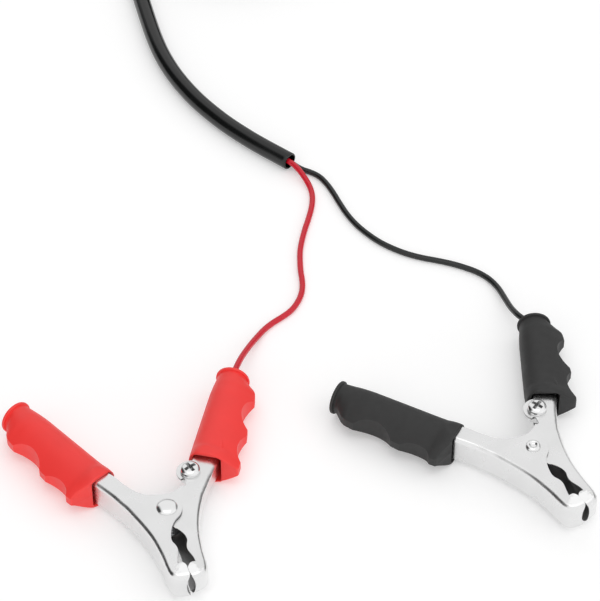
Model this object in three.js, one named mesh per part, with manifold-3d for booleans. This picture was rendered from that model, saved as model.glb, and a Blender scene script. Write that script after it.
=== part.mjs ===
// Clamp lead of a car battery charger: two spring clamps on a sheathed two-core cable.
// Millimetres, +Z up, the floor at z = 0. The jaws point towards -Y.
import * as THREE from "three";
import { mergeVertices } from "three/addons/utils/BufferGeometryUtils.js";
import Module from "manifold-3d";

const wasm = await Module();
wasm.setup();

// ---------------------------------------------------------------- dimensions
const SHIFT = [1.899, 93.679];                // moves the layout so that the clamps' box is centred on the origin
const ZC = 8.4;                       // height of the clamps' centre plane
const SHEET = 0.9;                    // steel thickness
const FREE_HALF = 6.7;                // half height of the outer (free) lever
const WIRE_HALF = 5.5;                // half height of the lever nested inside it
const BEND = 2.1;                     // outer radius of the folded edge
const HANDLE = THREE.MathUtils.degToRad(29.4);   // each handle's angle to the clamp's centre line
const HANDLE_END = 64;               // handle length from the pivot
const PIVOT_HOLE = 2.3;
const RIVET_R = 2.0;
const DOME_R = 4.2, DOME_H = 1.3;
const CLINCH_R = 3.0, CLINCH_H = 1.1;
const SCREW_AT = [13.9, 16.55];       // terminal screw, right lever
const TAB_R = 5.6;
const SCREW_HEAD_R = 4.0, SCREW_HEAD_H = 2.5, SCREW_R = 2.0, SCREW_HOLE = 2.3;
const NUT_AF = 7.0, NUT_H = 2.6;
const SPRING_R = 6.4, SPRING_WIRE = 0.8, SPRING_HALF = 2.8;
const GAP = 0.3;
const CAVITY_HALF = 6.85;
const MOUTH_S = 29.7;
const NECK_W = 7.05, NECK_R = 6.3, FLANGE_R = 7.1, FLANGE_S = 79.5, FLANGE_END = 80.8, FLANGE_HOLE = 4.6;
const SCOOPS = [[41.6, 29.5, 11.5], [60.6, 26.2, 10.7]];     // centre along the handle, centre outward, radius
const LEAD_R = 1.3;
const SHEATH_R = 3.95;

// Place of each clamp: pivot, rotation in degrees, and where its grips sit on their handles (along, outward, tilt in degrees, how much the soft sleeve is pushed together)
const CLAMPS = {
  red: { pivot: [-52.17, -129.66], turn: 16.8, freeGrip: [0, 0.2, -2.2, 1.064], wireGrip: [-0.8, 0.8, -0.4, 0.98], deeper: [0, 0], domeUp: true },
  black: { pivot: [93.37, -97.67], turn: 32.4, freeGrip: [0, 0.5, 0.1, 1.076], wireGrip: [-1.5, 0.5, 2, 0.91], deeper: [-0.9, -0.4], domeUp: false },
};

// Outer wall of the free lever, from the grip's mouth to the tip (left-hand lever; the other is its mirror image)
const WALL = [
  [-24.6, 20.6], [-21.7, 15.9], [-19.35, 11.8], [-17.4, 7.7], [-15.7, 4.3], [-14.1, 0], [-12.25, -5.15],
  [-10.75, -9.9], [-9.7, -14.2], [-9.0, -18.9], [-8.5, -23.2], [-8.3, -27.5], [-8.05, -30.8], [-7.35, -33.3],
  [-6.1, -34.8], [-4.4, -35.5], [-2.15, -35.8], [0, -35.9],
];
// How much further out the wall of the wire-side lever runs at each of those points
const WIRE_FLARE = [2.0, 1.7, 1.25, 0.85, 0.5, 0.2, 0, 0, 0, 0, 0, 0, 0, 0, 0, 0, 0, 0];
// Edge of the jaw slot, from the closed tip back to the pivot
const SLOT = [
  [-0.15, -35.9], [-0.15, -30.7], [-0.6, -29.4], [-1.5, -28.5], [-3.25, -28.55], [-2.75, -26.6], [-2.0, -24.3],
  [-1.45, -22.3], [-1.4, -20.9], [-1.75, -19.3], [-2.4, -17.6], [-2.5, -16.5], [-2.3, -15.0], [-1.7, -12.9], [-0.9, -10.8],
];
// How much further out the slot's edge runs on the wire-side lever, by y
const SLOT_WIDER = [[-30.7, 0], [-28.5, 0.6], [-26, 1.0], [-15, 1.1], [-12, 0.8], [-9.4, 0]];
// Ear round the pivot
const EAR = [
  [-0.15, -9.4], [0.6, -8.3], [1.7, -7.0], [3.2, -5.8], [4.5, -4.5], [5.5, -2.6], [5.9, 0], [5.5, 2.6], [4.2, 5.4], [2.2, 6.75],
];
// Inner edge between the pivot and the handle
const CROTCH = [
  [0, 7.1], [-3.9, 8.0], [-6.7, 9.0], [-9.5, 11.2], [-11.3, 13.3], [-12.7, 15.5], [-14.0, 17.6], [-15.1, 19.8], [-16.3, 21.9], [-17.2, 23.2],
];

// ---------------------------------------------------------------- helpers
const along = (side, s, w) => {
  const ux = Math.sin(HANDLE) * side, uy = Math.cos(HANDLE);
  const nx = Math.cos(HANDLE) * side, ny = -Math.sin(HANDLE);
  return [s * ux + w * nx, s * uy + w * ny];
};
// straight-line interpolation in a table of [position, value]
const at = (table, s) => {
  if (s <= table[0][0]) return table[0][1];
  for (let i = 1; i < table.length; i++) {
    const [a, b] = [table[i - 1], table[i]];
    if (s <= b[0]) return a[1] + (b[1] - a[1]) * (s - a[0]) / (b[0] - a[0]);
  }
  return table[table.length - 1][1];
};
const shapeOf = (points) => new THREE.Shape(points.map(([x, y]) => new THREE.Vector2(x, y)));

function solid(geometry) {
  const g = geometry.clone();
  g.deleteAttribute("normal");
  g.deleteAttribute("uv");
  const m = mergeVertices(g, 1e-4);
  const a = m.index.array, tri = [];
  for (let i = 0; i < a.length; i += 3) {
    if (a[i] !== a[i + 1] && a[i + 1] !== a[i + 2] && a[i] !== a[i + 2]) tri.push(a[i], a[i + 1], a[i + 2]);
  }
  const make = (t) => new wasm.Manifold(new wasm.Mesh({
    numProp: 3, vertProperties: new Float32Array(m.attributes.position.array), triVerts: new Uint32Array(t),
  }));
  const body = make(tri);
  if (body.volume() > 0) return body;
  for (let i = 0; i < tri.length; i += 3) [tri[i], tri[i + 1]] = [tri[i + 1], tri[i]];
  return make(tri);
}
const prism = (points, z0, z1) => {
  const g = new THREE.ExtrudeGeometry(shapeOf(points), { depth: z1 - z0, bevelEnabled: false, curveSegments: 1 });
  g.translate(0, 0, z0);
  return solid(g);
};
// A prism with rounded long edges; inset moves its side wall in by that much
const rounded = (points, half, radius, inset, segments = 3) => {
  const g = new THREE.ExtrudeGeometry(shapeOf(points), {
    depth: 2 * (half - radius), bevelEnabled: true, bevelThickness: radius, bevelSize: radius,
    bevelOffset: -radius - inset, bevelSegments: segments, curveSegments: 1,
  });
  g.translate(0, 0, -(half - radius));
  return solid(g);
};
const disc = (x, y, r, z0, z1, n = 24) => {
  const g = new THREE.CylinderGeometry(r, r, z1 - z0, n);
  g.rotateX(Math.PI / 2);
  g.translate(x, y, (z0 + z1) / 2);
  return solid(g);
};
const lathe = (profile, n = 24) => {
  const g = new THREE.LatheGeometry(profile.map(([r, z]) => new THREE.Vector2(r, z)), n);
  g.rotateX(Math.PI / 2);
  return solid(g);
};
const box = (cx, cy, cz, sx, sy, sz, turn = 0) => {
  const g = new THREE.BoxGeometry(sx, sy, sz);
  g.rotateZ(turn);
  g.translate(cx, cy, cz);
  return solid(g);
};
const join = (...all) => all.reduce((a, b) => wasm.Manifold.union(a, b));
const cut = (a, ...rest) => rest.reduce((x, y) => wasm.Manifold.difference(x, y), a);
const common = (a, b) => wasm.Manifold.intersection(a, b);
const circle = (r, n) => Array.from({ length: n }, (_, i) => {
  const t = (i + 0.5) / n * 2 * Math.PI;
  return [r * Math.cos(t), r * Math.sin(t)];
});
const tube = (points, radius, sides, steps) => {
  const path = new THREE.CatmullRomCurve3(points.map((p) => new THREE.Vector3(...p)), false, "centripetal");
  return solid(new THREE.ExtrudeGeometry(shapeOf(circle(radius, sides)), { steps, extrudePath: path, bevelEnabled: false }));
};

const root = new THREE.Group();
root.name = "clamp_lead";
root.position.set(SHIFT[0], SHIFT[1], 0);
function add(group, name, body, material) {
  const m = body.getMesh();
  const n = m.numProp;
  const pos = new Float32Array(m.vertProperties.length / n * 3);
  for (let i = 0; i < pos.length / 3; i++) for (let k = 0; k < 3; k++) pos[3 * i + k] = m.vertProperties[n * i + k];
  const g = new THREE.BufferGeometry();
  g.setAttribute("position", new THREE.BufferAttribute(pos, 3));
  g.setIndex(new THREE.BufferAttribute(new Uint32Array(m.triVerts), 1));
  g.computeVertexNormals();
  const mesh = new THREE.Mesh(g, material);
  mesh.name = name;
  group.add(mesh);
  return mesh;
}
const finish = (color, roughness, metalness) => new THREE.MeshStandardMaterial({ color, roughness, metalness });
const PLATED = finish(0xdcdcdc, 0.34, 1.0);
const BRIGHT = finish(0xe6e6e6, 0.22, 1.0);
const SPRING = finish(0xa9acaf, 0.35, 1.0);
const RED_GRIP = finish(0xf03c37, 0.5, 0.0);
const BLACK_GRIP = finish(0x3c3c3c, 0.6, 0.0);
const RED_LEAD = finish(0xd72d3c, 0.45, 0.0);
const BLACK_LEAD = finish(0x1e2323, 0.45, 0.0);
const SHEATHING = finish(0x17191a, 0.3, 0.0);
const MOULDED = finish(0x1c1d1e, 0.5, 0.0);
const TIN = finish(0xc9c6bf, 0.35, 1.0);
const BRASS = finish(0xc9a24e, 0.3, 1.0);

// ---------------------------------------------------------------- levers
function lever(half, side, withTab) {
  const flip = (pts) => pts.map(([x, y]) => [-side * x, y]);
  const h = (s, w) => { const [x, y] = along(-1, s, w); return [x, y]; };
  const wall = withTab ? WALL.map(([x, y], i) => [x - 0.9 * WIRE_FLARE[i], y - 0.4 * WIRE_FLARE[i]]) : WALL;
  const fat = flip([
    h(HANDLE_END + 6, withTab ? 10.2 : 9.4), h(50, withTab ? 11.0 : 9.9), h(36, withTab ? 12.7 : 10.9), ...wall, [5, -35.9], [9.5, -31], [9.5, 12], [0, 14], [-4.6, 16.5], [-4.6, 23],
    [-11, 30], h(40, -1), h(HANDLE_END + 6, -1),
  ]);
  const slot = withTab ? SLOT.map(([x, y]) => [x - at(SLOT_WIDER, y), y]) : SLOT;
  const edge = flip([
    h(HANDLE_END, 10.9 + 1.5), h(50, 13.5), h(30, 15.5), [-20, 2], [-14, -20], [-12, -38], [-0.15, -38],
    ...slot, ...EAR, ...CROTCH, h(34, 4.6), h(50, 5.2), h(HANDLE_END, 5.8),
  ]);
  const shell = cut(rounded(fat, half, BEND, 0, 2), rounded(fat, half - SHEET, BEND - SHEET, SHEET, 2));
  let trim = prism(edge, -half - 1, half + 1);
  if (withTab) {
    const [tx, ty] = SCREW_AT;
    trim = join(trim, disc(tx, ty, TAB_R, 0, half + 2, 32));
    trim = cut(trim, disc(9.45, 10.6, 0.9, 1, half + 3, 12), box(9.7, 11.7, 6, 1.8, 2.2, 10, -0.2), disc(9.95, 12.8, 0.9, 1, half + 3, 12));
  }
  let body = common(shell, trim);
  body = cut(body, disc(0, 0, PIVOT_HOLE, -half - 1, half + 1, 20));
  if (withTab) body = cut(body, disc(...SCREW_AT, SCREW_HOLE, 0, half + 1, 20));
  // lens-shaped gap between the ends of the jaws
  const lens = [];
  for (let i = 0; i <= 8; i++) { const z = -6.2 + 12.4 * i / 8; lens.push([1.6 * (1 - (z / 6.2) ** 2) + 0.02, z]); }
  for (let i = 7; i >= 1; i--) { const z = -6.2 + 12.4 * i / 8; lens.push([-1.6 * (1 - (z / 6.2) ** 2) - 0.02, z]); }
  const g = new THREE.ExtrudeGeometry(shapeOf(lens), { depth: 9, bevelEnabled: false, curveSegments: 1 });
  g.rotateX(Math.PI / 2);
  g.translate(0, -31.8, 0);
  body = cut(body, solid(g));
  return body.translate([0, 0, ZC]);
}

// ---------------------------------------------------------------- grips
// Drawn in handle coordinates: x along the handle (s), y outward (w), then laid on the handle
const CAP_AT = [[29.7, 8.25], [30.6, 8.4]];                   // flat band round the mouth, which rests on the floor
const HALF_AT = [[29.7, 8.8], [31.4, 8.9], [33.5, 8.6], [37, 7.75], [42, 7.65], [66, 7.65], [72, 7.3], [76, 6.7], [79.4, 6.3]];   // half height
const IN_AT = [[29.7, 0.4], [33, 0.3], [38, -0.1], [66, 0], [72, 0.25], [76, 0.55], [79.4, 0.75]];                            // innermost line
const FLAT_AT = [[29.7, 20.4], [30.6, 20.9], [34.5, 20.9], [48.4, 20.1], [52.6, 19.6], [68.6, 18.8], [72, 18.3], [74.1, 17.3], [75.5, 15.9], [77, 14.5], [78.3, 13.6], [79.4, 13.36]];   // narrow flat on the outer side
const OUT_AT = [[29.7, 23.3], [34.5, 23.5], [48.4, 22.7], [52.6, 22.2], [68.6, 21.4], [72, 20.6], [74.1, 18.8], [75.5, 16.7], [77, 14.8], [78.3, 13.65], [79.4, 13.36]];   // where the curve of the outer side would close
const ROUND_AT = [[29.7, 6.6], [38, 7.4], [66, 7.4], [72, 7], [79.4, 6.3]];
const P_AT = [[29.7, 1.8], [70, 1.8], [77, 2]], Q_AT = [[29.7, 1.15], [70, 1.15], [74, 0.9], [77, 0.5]];
const ROWS = [29.7, 30.6, 32.4, 33.5, 34.8, 37.4, 38.8, 40.2, 41.6, 43, 44.4, 45.8, 47.2, 48.5, 50.5, 52.6, 54, 55.4, 56.8, 58.2, 59.6, 61, 62.4, 63.8, 65.2, 66.6, 68, 69.4, 72, 74.1, 75.5, 77, 78.3, 79.4];
const CAVITY = (tight) => [
  [25, 2.3], [31, 2.3], [38, 3.2], [69.4, 3.2], [69.4, 11.1], [44, 11.9 - tight * 0.4], [33, 14.3 - tight], [25, 14.4 - tight],
];
// n points at even distances along a polyline
const evenly = (pts, n) => {
  const d = [0];
  for (let i = 1; i < pts.length; i++) d.push(d[i - 1] + Math.hypot(pts[i][0] - pts[i - 1][0], pts[i][1] - pts[i - 1][1]));
  return Array.from({ length: n }, (_, k) => {
    const u = d[d.length - 1] * k / (n - 1);
    let i = 1;
    while (i < pts.length - 1 && d[i] < u) i++;
    const f = d[i] > d[i - 1] ? Math.min(1, (u - d[i - 1]) / (d[i] - d[i - 1])) : 0;
    return [pts[i - 1][0] + (pts[i][0] - pts[i - 1][0]) * f, pts[i - 1][1] + (pts[i][1] - pts[i - 1][1]) * f];
  });
};
const N_IN = 9, N_OUT = 9, N_FLAT = 2;
const loopOf = (half) => [...half, ...half.slice(1, -1).reverse().map(([w, z]) => [w, -z])];
function gripSection(s, deeper) {
  const H = at(HALF_AT, s), wi = at(IN_AT, s), wo = at(OUT_AT, s), rho = Math.min(at(ROUND_AT, s), H - 1e-3, NECK_W - wi - 1e-3), p = at(P_AT, s), q = at(Q_AT, s);
  const inner = [[wi, 0], [wi, H - rho]];
  for (let i = 1; i <= 12; i++) { const t = i / 12 * Math.PI / 2; inner.push([wi + rho * (1 - Math.cos(t)), H - rho + rho * Math.sin(t)]); }
  inner.push([NECK_W, H]);
  const cap = at(CAP_AT, s), capped = (pts) => pts.map(([w, z]) => [w, Math.min(z, cap)]);
  let limit = at(FLAT_AT, s);
  for (const [sc, wc, r] of SCOOPS) {
    const d = s - sc - deeper[0];
    if (Math.abs(d) < r) limit = Math.min(limit, wc + deeper[1] - Math.sqrt(r * r - d * d));
  }
  const top = Math.asin(Math.max(0, Math.min(0.999, (limit - NECK_W) / (wo - NECK_W))));
  const outer = [];
  for (let i = 0; i <= 40; i++) { const t = top * i / 40, u = Math.sin(t); outer.push([NECK_W + (wo - NECK_W) * u, H * Math.max(0, 1 - u ** p) ** q]); }
  const b = evenly(capped(outer), N_OUT + 1).slice(1), corner = b[b.length - 1];
  const face = Array.from({ length: N_FLAT }, (_, k) => [corner[0], corner[1] * (1 - (k + 1) / N_FLAT)]);
  return loopOf([...evenly(capped(inner), N_IN), ...b, ...face]);
}
function ringSection(r) {
  const a = [], b = [];
  for (let i = 0; i <= 24; i++) { const t = i / 24 * Math.PI / 2; a.push([NECK_W - r * Math.cos(t), r * Math.sin(t)]); b.push([NECK_W + r * Math.sin(t), r * Math.cos(t)]); }
  return loopOf([...evenly(a, N_IN), ...evenly(b, N_OUT + N_FLAT + 1).slice(1)]);
}
function grip(side, place, deeper) {
  const [ds, dw, tilt, stretch] = place;
  const rows = ROWS.map((s) => [s, gripSection(s, deeper)]);
  for (const [s, r] of [[FLANGE_S - 0.05, NECK_R + 0.05], [FLANGE_S, FLANGE_R - 0.3], [FLANGE_S + 0.3, FLANGE_R], [FLANGE_END - 0.35, FLANGE_R], [FLANGE_END, FLANGE_R - 0.35]]) rows.push([s, ringSection(r)]);
  const n = rows[0][1].length, pos = [], tri = [];
  for (const [s, ring] of rows) for (const [w, z] of ring) pos.push(s, w, z);
  for (let k = 0; k + 1 < rows.length; k++) for (let i = 0; i < n; i++) {
    const j = (i + 1) % n, a = k * n + i, b = k * n + j, c = a + n, d = b + n;
    tri.push(a, b, d, a, d, c);
  }
  for (const [k, flip] of [[0, false], [rows.length - 1, true]]) {
    const c = pos.length / 3;
    pos.push(rows[k][0], NECK_W, 0);
    for (let i = 0; i < n; i++) { const a = k * n + i, b = k * n + (i + 1) % n; flip ? tri.push(c, a, b) : tri.push(c, b, a); }
  }
  const g = new THREE.BufferGeometry();
  g.setAttribute("position", new THREE.BufferAttribute(new Float32Array(pos), 3));
  g.setIndex(tri);
  let body = solid(g);
  const bore = lathe([[0, 0], [FLANGE_HOLE, 0], [FLANGE_HOLE, 15], [0, 15]], 20).rotate([0, 90, 0]).translate([67.5, NECK_W, 0]);
  body = cut(body, bore, rounded(CAVITY(side < 0 ? 1.6 : 0), CAVITY_HALF, 1.2, 0, 2));
  // on to the handle: x -> along, y -> outward
  body = body.translate([-30, -8, 0]).scale([stretch, 1, 1]).rotate([0, 0, tilt]).translate([30 + ds, 8 + dw, 0]);
  const [ux, uy] = along(side, 1, 0), [nx, ny] = along(side, 0, 1);
  const m = new THREE.Matrix4().set(ux, nx, 0, 0, uy, ny, 0, 0, 0, 0, 1, ZC, 0, 0, 0, 1);
  return body.transform(m.elements.slice());
}
// A point of the grip's own drawing, in the clamp's plan
function onGrip(side, place, s, w) {
  const [ds, dw, tilt, stretch] = place, t = THREE.MathUtils.degToRad(tilt), x = (s - 30) * stretch, y = w - 8;
  return along(side, x * Math.cos(t) - y * Math.sin(t) + 30 + ds, x * Math.sin(t) + y * Math.cos(t) + 8 + dw);
}

// ---------------------------------------------------------------- pivot rivet and spring
function rivet(domeUp) {
  const z = FREE_HALF + GAP;
  const body = lathe([
    [0, -z - CLINCH_H + 0.6], [1.1, -z - CLINCH_H + 0.45], [1.7, -z - CLINCH_H], [2.5, -z - CLINCH_H], [CLINCH_R, -z - 0.6], [CLINCH_R, -z], [RIVET_R, -z],
    [RIVET_R, z], [DOME_R, z], [DOME_R, z + 0.25], [DOME_R - 0.5, z + 0.75], [DOME_R - 1.5, z + 1.12], [1.2, z + DOME_H], [0, z + DOME_H],
  ], 20);
  return (domeUp ? body : body.rotate([180, 0, 0])).translate([0, 0, ZC]);
}
function spring() {
  const a0 = -38.5, a1 = a0 - 360 * 3 + 360 - 103 - 360, n = 66;   // clockwise, rising
  const at = (deg, z, r = SPRING_R) => [r * Math.cos(THREE.MathUtils.degToRad(deg)), r * Math.sin(THREE.MathUtils.degToRad(deg)), z];
  const pts = [];
  const start = at(a0, -SPRING_HALF), end = at(a1, SPRING_HALF);
  // the legs run along the insides of the two walls
  for (let i = 0; i < 5; i++) { const k = 1 - i / 5; pts.push([start[0] + (16.9 - start[0]) * k, start[1] + (11.0 - start[1]) * k, -SPRING_HALF]); }
  for (let i = 0; i <= n; i++) pts.push(at(a0 + (a1 - a0) * i / n, -SPRING_HALF + 2 * SPRING_HALF * i / n));
  for (let i = 1; i <= 5; i++) { const k = i / 5; pts.push([end[0] + (-16.9 - end[0]) * k, end[1] + (11.0 - end[1]) * k, SPRING_HALF]); }
  return tube(pts, SPRING_WIRE, 6, 76).translate([0, 0, ZC]);
}

// ---------------------------------------------------------------- terminal
function terminalScrew() {
  const z0 = WIRE_HALF + GAP, z1 = z0 + SCREW_HEAD_H;
  const body = lathe([
    [0, 0.2], [SCREW_R - 0.3, 0.2], [SCREW_R, 0.6], [SCREW_R, z0], [SCREW_HEAD_R - 0.1, z0], [SCREW_HEAD_R, z0 + 0.3], [SCREW_HEAD_R - 0.15, z0 + 1.2],
    [SCREW_HEAD_R - 0.9, z0 + 2.0], [SCREW_HEAD_R - 2.1, z1 - 0.08], [0, z1],
  ], 28);
  const turn = 0.35;
  return cut(body, box(0, 0, z1, 4.8, 0.95, 3.0, turn), box(0, 0, z1, 0.95, 4.8, 3.0, turn)).translate([SCREW_AT[0], SCREW_AT[1], ZC]);
}
function screwNut() {
  const pts = Array.from({ length: 6 }, (_, i) => {
    const t = (i / 6) * 2 * Math.PI + 0.2, r = NUT_AF / 2 / Math.cos(Math.PI / 6);
    return [SCREW_AT[0] + r * Math.cos(t), SCREW_AT[1] + r * Math.sin(t)];
  });
  return cut(prism(pts, 3.2 - NUT_H, 3.2), disc(...SCREW_AT, SCREW_HOLE, -1, 5, 20)).translate([0, 0, ZC]);
}
const BARREL = [27.5, 33.5, 5.6, 1.7, 2.5];      // from, to, w, radius, height over the centre plane
function wireLug() {
  const [s0, s1, w, r, z] = BARREL;
  const sa = SCREW_AT[0] * Math.sin(HANDLE) + SCREW_AT[1] * Math.cos(HANDLE);
  const wa = SCREW_AT[0] * Math.cos(HANDLE) - SCREW_AT[1] * Math.sin(HANDLE);
  const ring = disc(...SCREW_AT, 3.6, 3.5, 4.3, 24);
  const neck = prism([[sa + 1, wa - 1.5], [s0 + 1.2, w - 1.3], [s0 + 1.2, w + 1.3], [sa + 1, wa + 1.7]].map(([a, b]) => along(1, a, b)), 3.5, 4.3);
  const g = new THREE.CylinderGeometry(r, r, s1 - s0, 16);
  g.rotateZ(-Math.PI / 2 + (Math.PI / 2 - HANDLE));
  const [x, y] = along(1, (s0 + s1) / 2, w);
  g.translate(x, y, z);
  return cut(join(ring, neck, solid(g)), disc(...SCREW_AT, SCREW_HOLE, 0, 6, 20)).translate([0, 0, ZC]);
}
function leadTail(place, endW) {
  const [, s1, w, , z] = BARREL;
  const e = onGrip(1, place, FLANGE_END - 0.2, endW), d = onGrip(1, place, FLANGE_END - 6, endW * 0.7 + 7 * 0.3), c = onGrip(1, place, 70, (endW + 7) / 2);
  return tube([[...along(1, s1 + GAP, w), z], [...along(1, 40, w + 0.2), z - 0.1], [...along(1, 56, 6.4), 1.2], [...c, 0.2], [...d, 0], [...e, 0]], LEAD_R, 8, 14)
    .translate([0, 0, ZC]);
}

// ---------------------------------------------------------------- the two clamps
for (const [name, c] of Object.entries(CLAMPS)) {
  const clamp = new THREE.Group();
  clamp.name = `${name}_clamp`;
  clamp.position.set(c.pivot[0], c.pivot[1], 0);
  clamp.rotation.z = THREE.MathUtils.degToRad(c.turn);
  root.add(clamp);
  const cover = name === "red" ? RED_GRIP : BLACK_GRIP;
  const core = name === "red" ? RED_LEAD : BLACK_LEAD;
  add(clamp, `${name}_wire_lever`, lever(WIRE_HALF, 1, true), PLATED);
  add(clamp, `${name}_free_lever`, lever(FREE_HALF, -1, false), PLATED);
  add(clamp, `${name}_wire_grip`, grip(1, c.wireGrip, c.deeper), cover);
  add(clamp, `${name}_free_grip`, grip(-1, c.freeGrip, [0, 0]), cover);
  add(clamp, `${name}_pivot_rivet`, rivet(c.domeUp), BRIGHT);
  add(clamp, `${name}_torsion_spring`, spring(), SPRING);
  add(clamp, `${name}_terminal_screw`, terminalScrew(), BRIGHT);
  add(clamp, `${name}_screw_nut`, screwNut(), BRIGHT);
  add(clamp, `${name}_wire_lug`, wireLug(), TIN);
  add(clamp, `${name}_lead_tail`, leadTail(c.wireGrip, name === "red" ? NECK_W : 4.15), core);
}

// ---------------------------------------------------------------- cords
const RED_ROUTE = [
  [-4.75, 84.0, 4.5], [-3.2, 82.7, 4.3], [-0.5, 79.3, 3.8], [2.1, 75.3, 2.7], [4.1, 71.4, 1.6], [5.3, 66.5, 1.3], [5.5, 61.7, 1.3], [5.0, 56.5, 1.3],
  [3.8, 50.2, 1.3], [2.2, 43.2, 1.3], [1.0, 36.8, 1.3], [0.1, 29.9, 1.3], [0, 23.7, 1.3], [0.3, 16.8, 1.3], [1.0, 9.7, 1.3], [0.7, 3.5, 1.3],
  [-1.0, -2.2, 1.3], [-3.8, -7.3, 1.3], [-7.4, -11.1, 1.3], [-11.4, -14.6, 1.3], [-14.9, -18.6, 1.5], [-18.0, -24.1, 2.4], [-20.9, -30.5, 4.0],
  [-23.4, -37.2, 5.9], [-25.3, -43.4, 7.6], [-26.7, -48.5, 8.35], [-27.75, -52.7, 8.4],
];
const BLACK_ROUTE = [
  [-3.4, 85.0, 2.5], [-1.5, 83.9, 1.7], [1.1, 82.3, 1.3], [3.7, 81.0, 1.3], [6.4, 79.4, 1.3], [9.1, 77.0, 1.3], [11.8, 73.0, 1.3], [14.5, 67.6, 1.3],
  [17.4, 60.6, 1.3], [20.8, 53.0, 1.3], [24.9, 46.1, 1.3], [29.7, 40.2, 1.3], [35.1, 34.9, 1.3], [41.0, 30.7, 1.3], [47.1, 27.4, 1.3], [53.2, 25.1, 1.3],
  [59.4, 23.4, 1.3], [65.6, 21.5, 1.3], [71.4, 19.1, 1.3], [76.9, 16.1, 1.3], [81.6, 12.0, 1.35], [85.2, 6.2, 1.8], [87.7, -1.6, 3.2], [89.6, -8.9, 5.2],
  [91.0, -13.2, 6.7], [92.6, -16.8, 7.8], [94.4, -19.3, 8.3], [95.45, -21.1, 8.4],
];
const SHEATH_ROUTE = [
  [-4.5, 84.75, 3.95], [-8.8, 88.25, 3.95], [-15.4, 93.5, 3.95], [-21.9, 99.0, 3.95], [-28.2, 104.8, 3.95], [-34.4, 111.0, 3.95], [-40.4, 117.8, 3.95],
  [-46.3, 125.2, 3.95], [-51.7, 133.1, 3.95], [-56.8, 141.7, 3.95], [-61.4, 151.0, 3.95], [-65.6, 161.4, 3.95], [-69.2, 172.8, 3.95],
  [-72.3, 184.6, 3.95], [-75.2, 196.4, 3.95], [-78.0, 208.2, 3.95], [-80.6, 220.0, 4.1], [-82.2, 231.0, 4.6], [-83.05, 241.3, 4.9],
];
add(root, "red_lead", tube(RED_ROUTE, LEAD_R, 8, 26), RED_LEAD);
add(root, "black_lead", tube(BLACK_ROUTE, LEAD_R, 8, 30), BLACK_LEAD);

// coil of the length that isn't in use: two turns side by side and a third in the groove on top
const COIL_AT = [-32, 272], COIL_LIFT = 1.2, COIL_IN = 39.2, COIL_OUT = 55.6, COIL_TOP = 16.0;
const COIL_TURN = 47.4;
const coilProfile = (grow) => [
  [COIL_IN - grow, COIL_LIFT - grow], [COIL_OUT + grow, COIL_LIFT - grow], [COIL_OUT + grow, 9.4 + grow / 2], [COIL_TURN + 4.2 + grow / 2, COIL_TOP + grow],
  [COIL_TURN - 4.2 - grow / 2, COIL_TOP + grow], [COIL_IN - grow, 9.4 + grow / 2],
];
add(root, "cable_coil", lathe([...coilProfile(0), coilProfile(0)[0]], 36).translate([COIL_AT[0], COIL_AT[1], 0]), SHEATHING);
add(root, "cable_sheath", tube(SHEATH_ROUTE, SHEATH_R, 10, 10), SHEATHING);

// strap round the coil, on the side away from the clamps
const TIE_DEG = 52, TIE_W = 9;
{
  const frame = (grow) => {
    const g = new THREE.ExtrudeGeometry(shapeOf(coilProfile(grow)), { depth: TIE_W + (grow < 0.5 ? 4 : 0), bevelEnabled: false, curveSegments: 1 });
    g.translate(0, 0, -(TIE_W + (grow < 0.5 ? 4 : 0)) / 2);
    g.rotateX(Math.PI / 2);
    return solid(g);
  };
  const tie = cut(frame(1.15), frame(0.42)).rotate([0, 0, TIE_DEG]).translate([COIL_AT[0], COIL_AT[1], 0]);
  add(root, "coil_tie", tie, MOULDED);
}

// cable end: from the coil to the connector
const TAIL_ROUTE = [
  [-4.2, 325.1, 7.4], [1, 324.9, 6.0], [8, 324.5, 4.8], [16, 324.0, 4.4], [26, 323.2, 4.4], [36, 322.2, 4.8], [44, 321.3, 5.2],
];
add(root, "cable_tail", tube(TAIL_ROUTE, SHEATH_R, 10, 4), SHEATHING);
// connector axis: from the end of the tail, level, turned a little clockwise
const PLUG_AT = [44.3, 321.27, 5.2], PLUG_TURN = -6.4;
const onPlug = (body) => body.rotate([0, 0, PLUG_TURN]).translate(PLUG_AT);
const alongX = (profile, n) => lathe(profile, n).rotate([0, 90, 0]);
add(root, "strain_relief", onPlug(alongX([[0, 0], [4.15, 0], [4.3, 3], [4.45, 12], [4.9, 24], [5.05, 25], [0, 25]], 20)), MOULDED);
const BODY_X = 25.3, BODY_L = 24, PIN_Y = -4.4, SOCKET_Y = 4.4;
{
  let body = rounded([[BODY_X, -6], [BODY_X + 5, -9], [BODY_X + BODY_L, -9], [BODY_X + BODY_L, 9], [BODY_X + 5, 9], [BODY_X, 6]], 5.1, 1.4, 0, 2);
  const shroud = alongX([[0, 0], [4.3, 0], [4.3, 12], [0, 12]], 24).translate([BODY_X + BODY_L - 1, SOCKET_Y, 0]);
  const bore = alongX([[0, 0], [3.3, 0], [3.3, 12], [0, 12]], 24).translate([BODY_X + BODY_L, SOCKET_Y, 0]);
  body = cut(join(body, shroud), bore);
  add(root, "connector_body", onPlug(body), MOULDED);
  const pin = alongX([[0, 0], [2.6, 0], [2.6, 1.0], [1.75, 1.3], [1.75, 10.2], [1.2, 11.2], [0, 11.5]], 20).translate([BODY_X + BODY_L + GAP, PIN_Y, 0]);
  add(root, "connector_pin", onPlug(pin), BRASS);
  const socket = cut(alongX([[0, 0], [2.9, 0], [2.9, 10], [0, 10]], 20), alongX([[0, 0], [1.95, 0], [1.95, 10], [0, 10]], 20).translate([1.2, 0, 0]))
    .translate([BODY_X + BODY_L + GAP, SOCKET_Y, 0]);
  add(root, "connector_socket", onPlug(socket), BRASS);
}

export default root;
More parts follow.
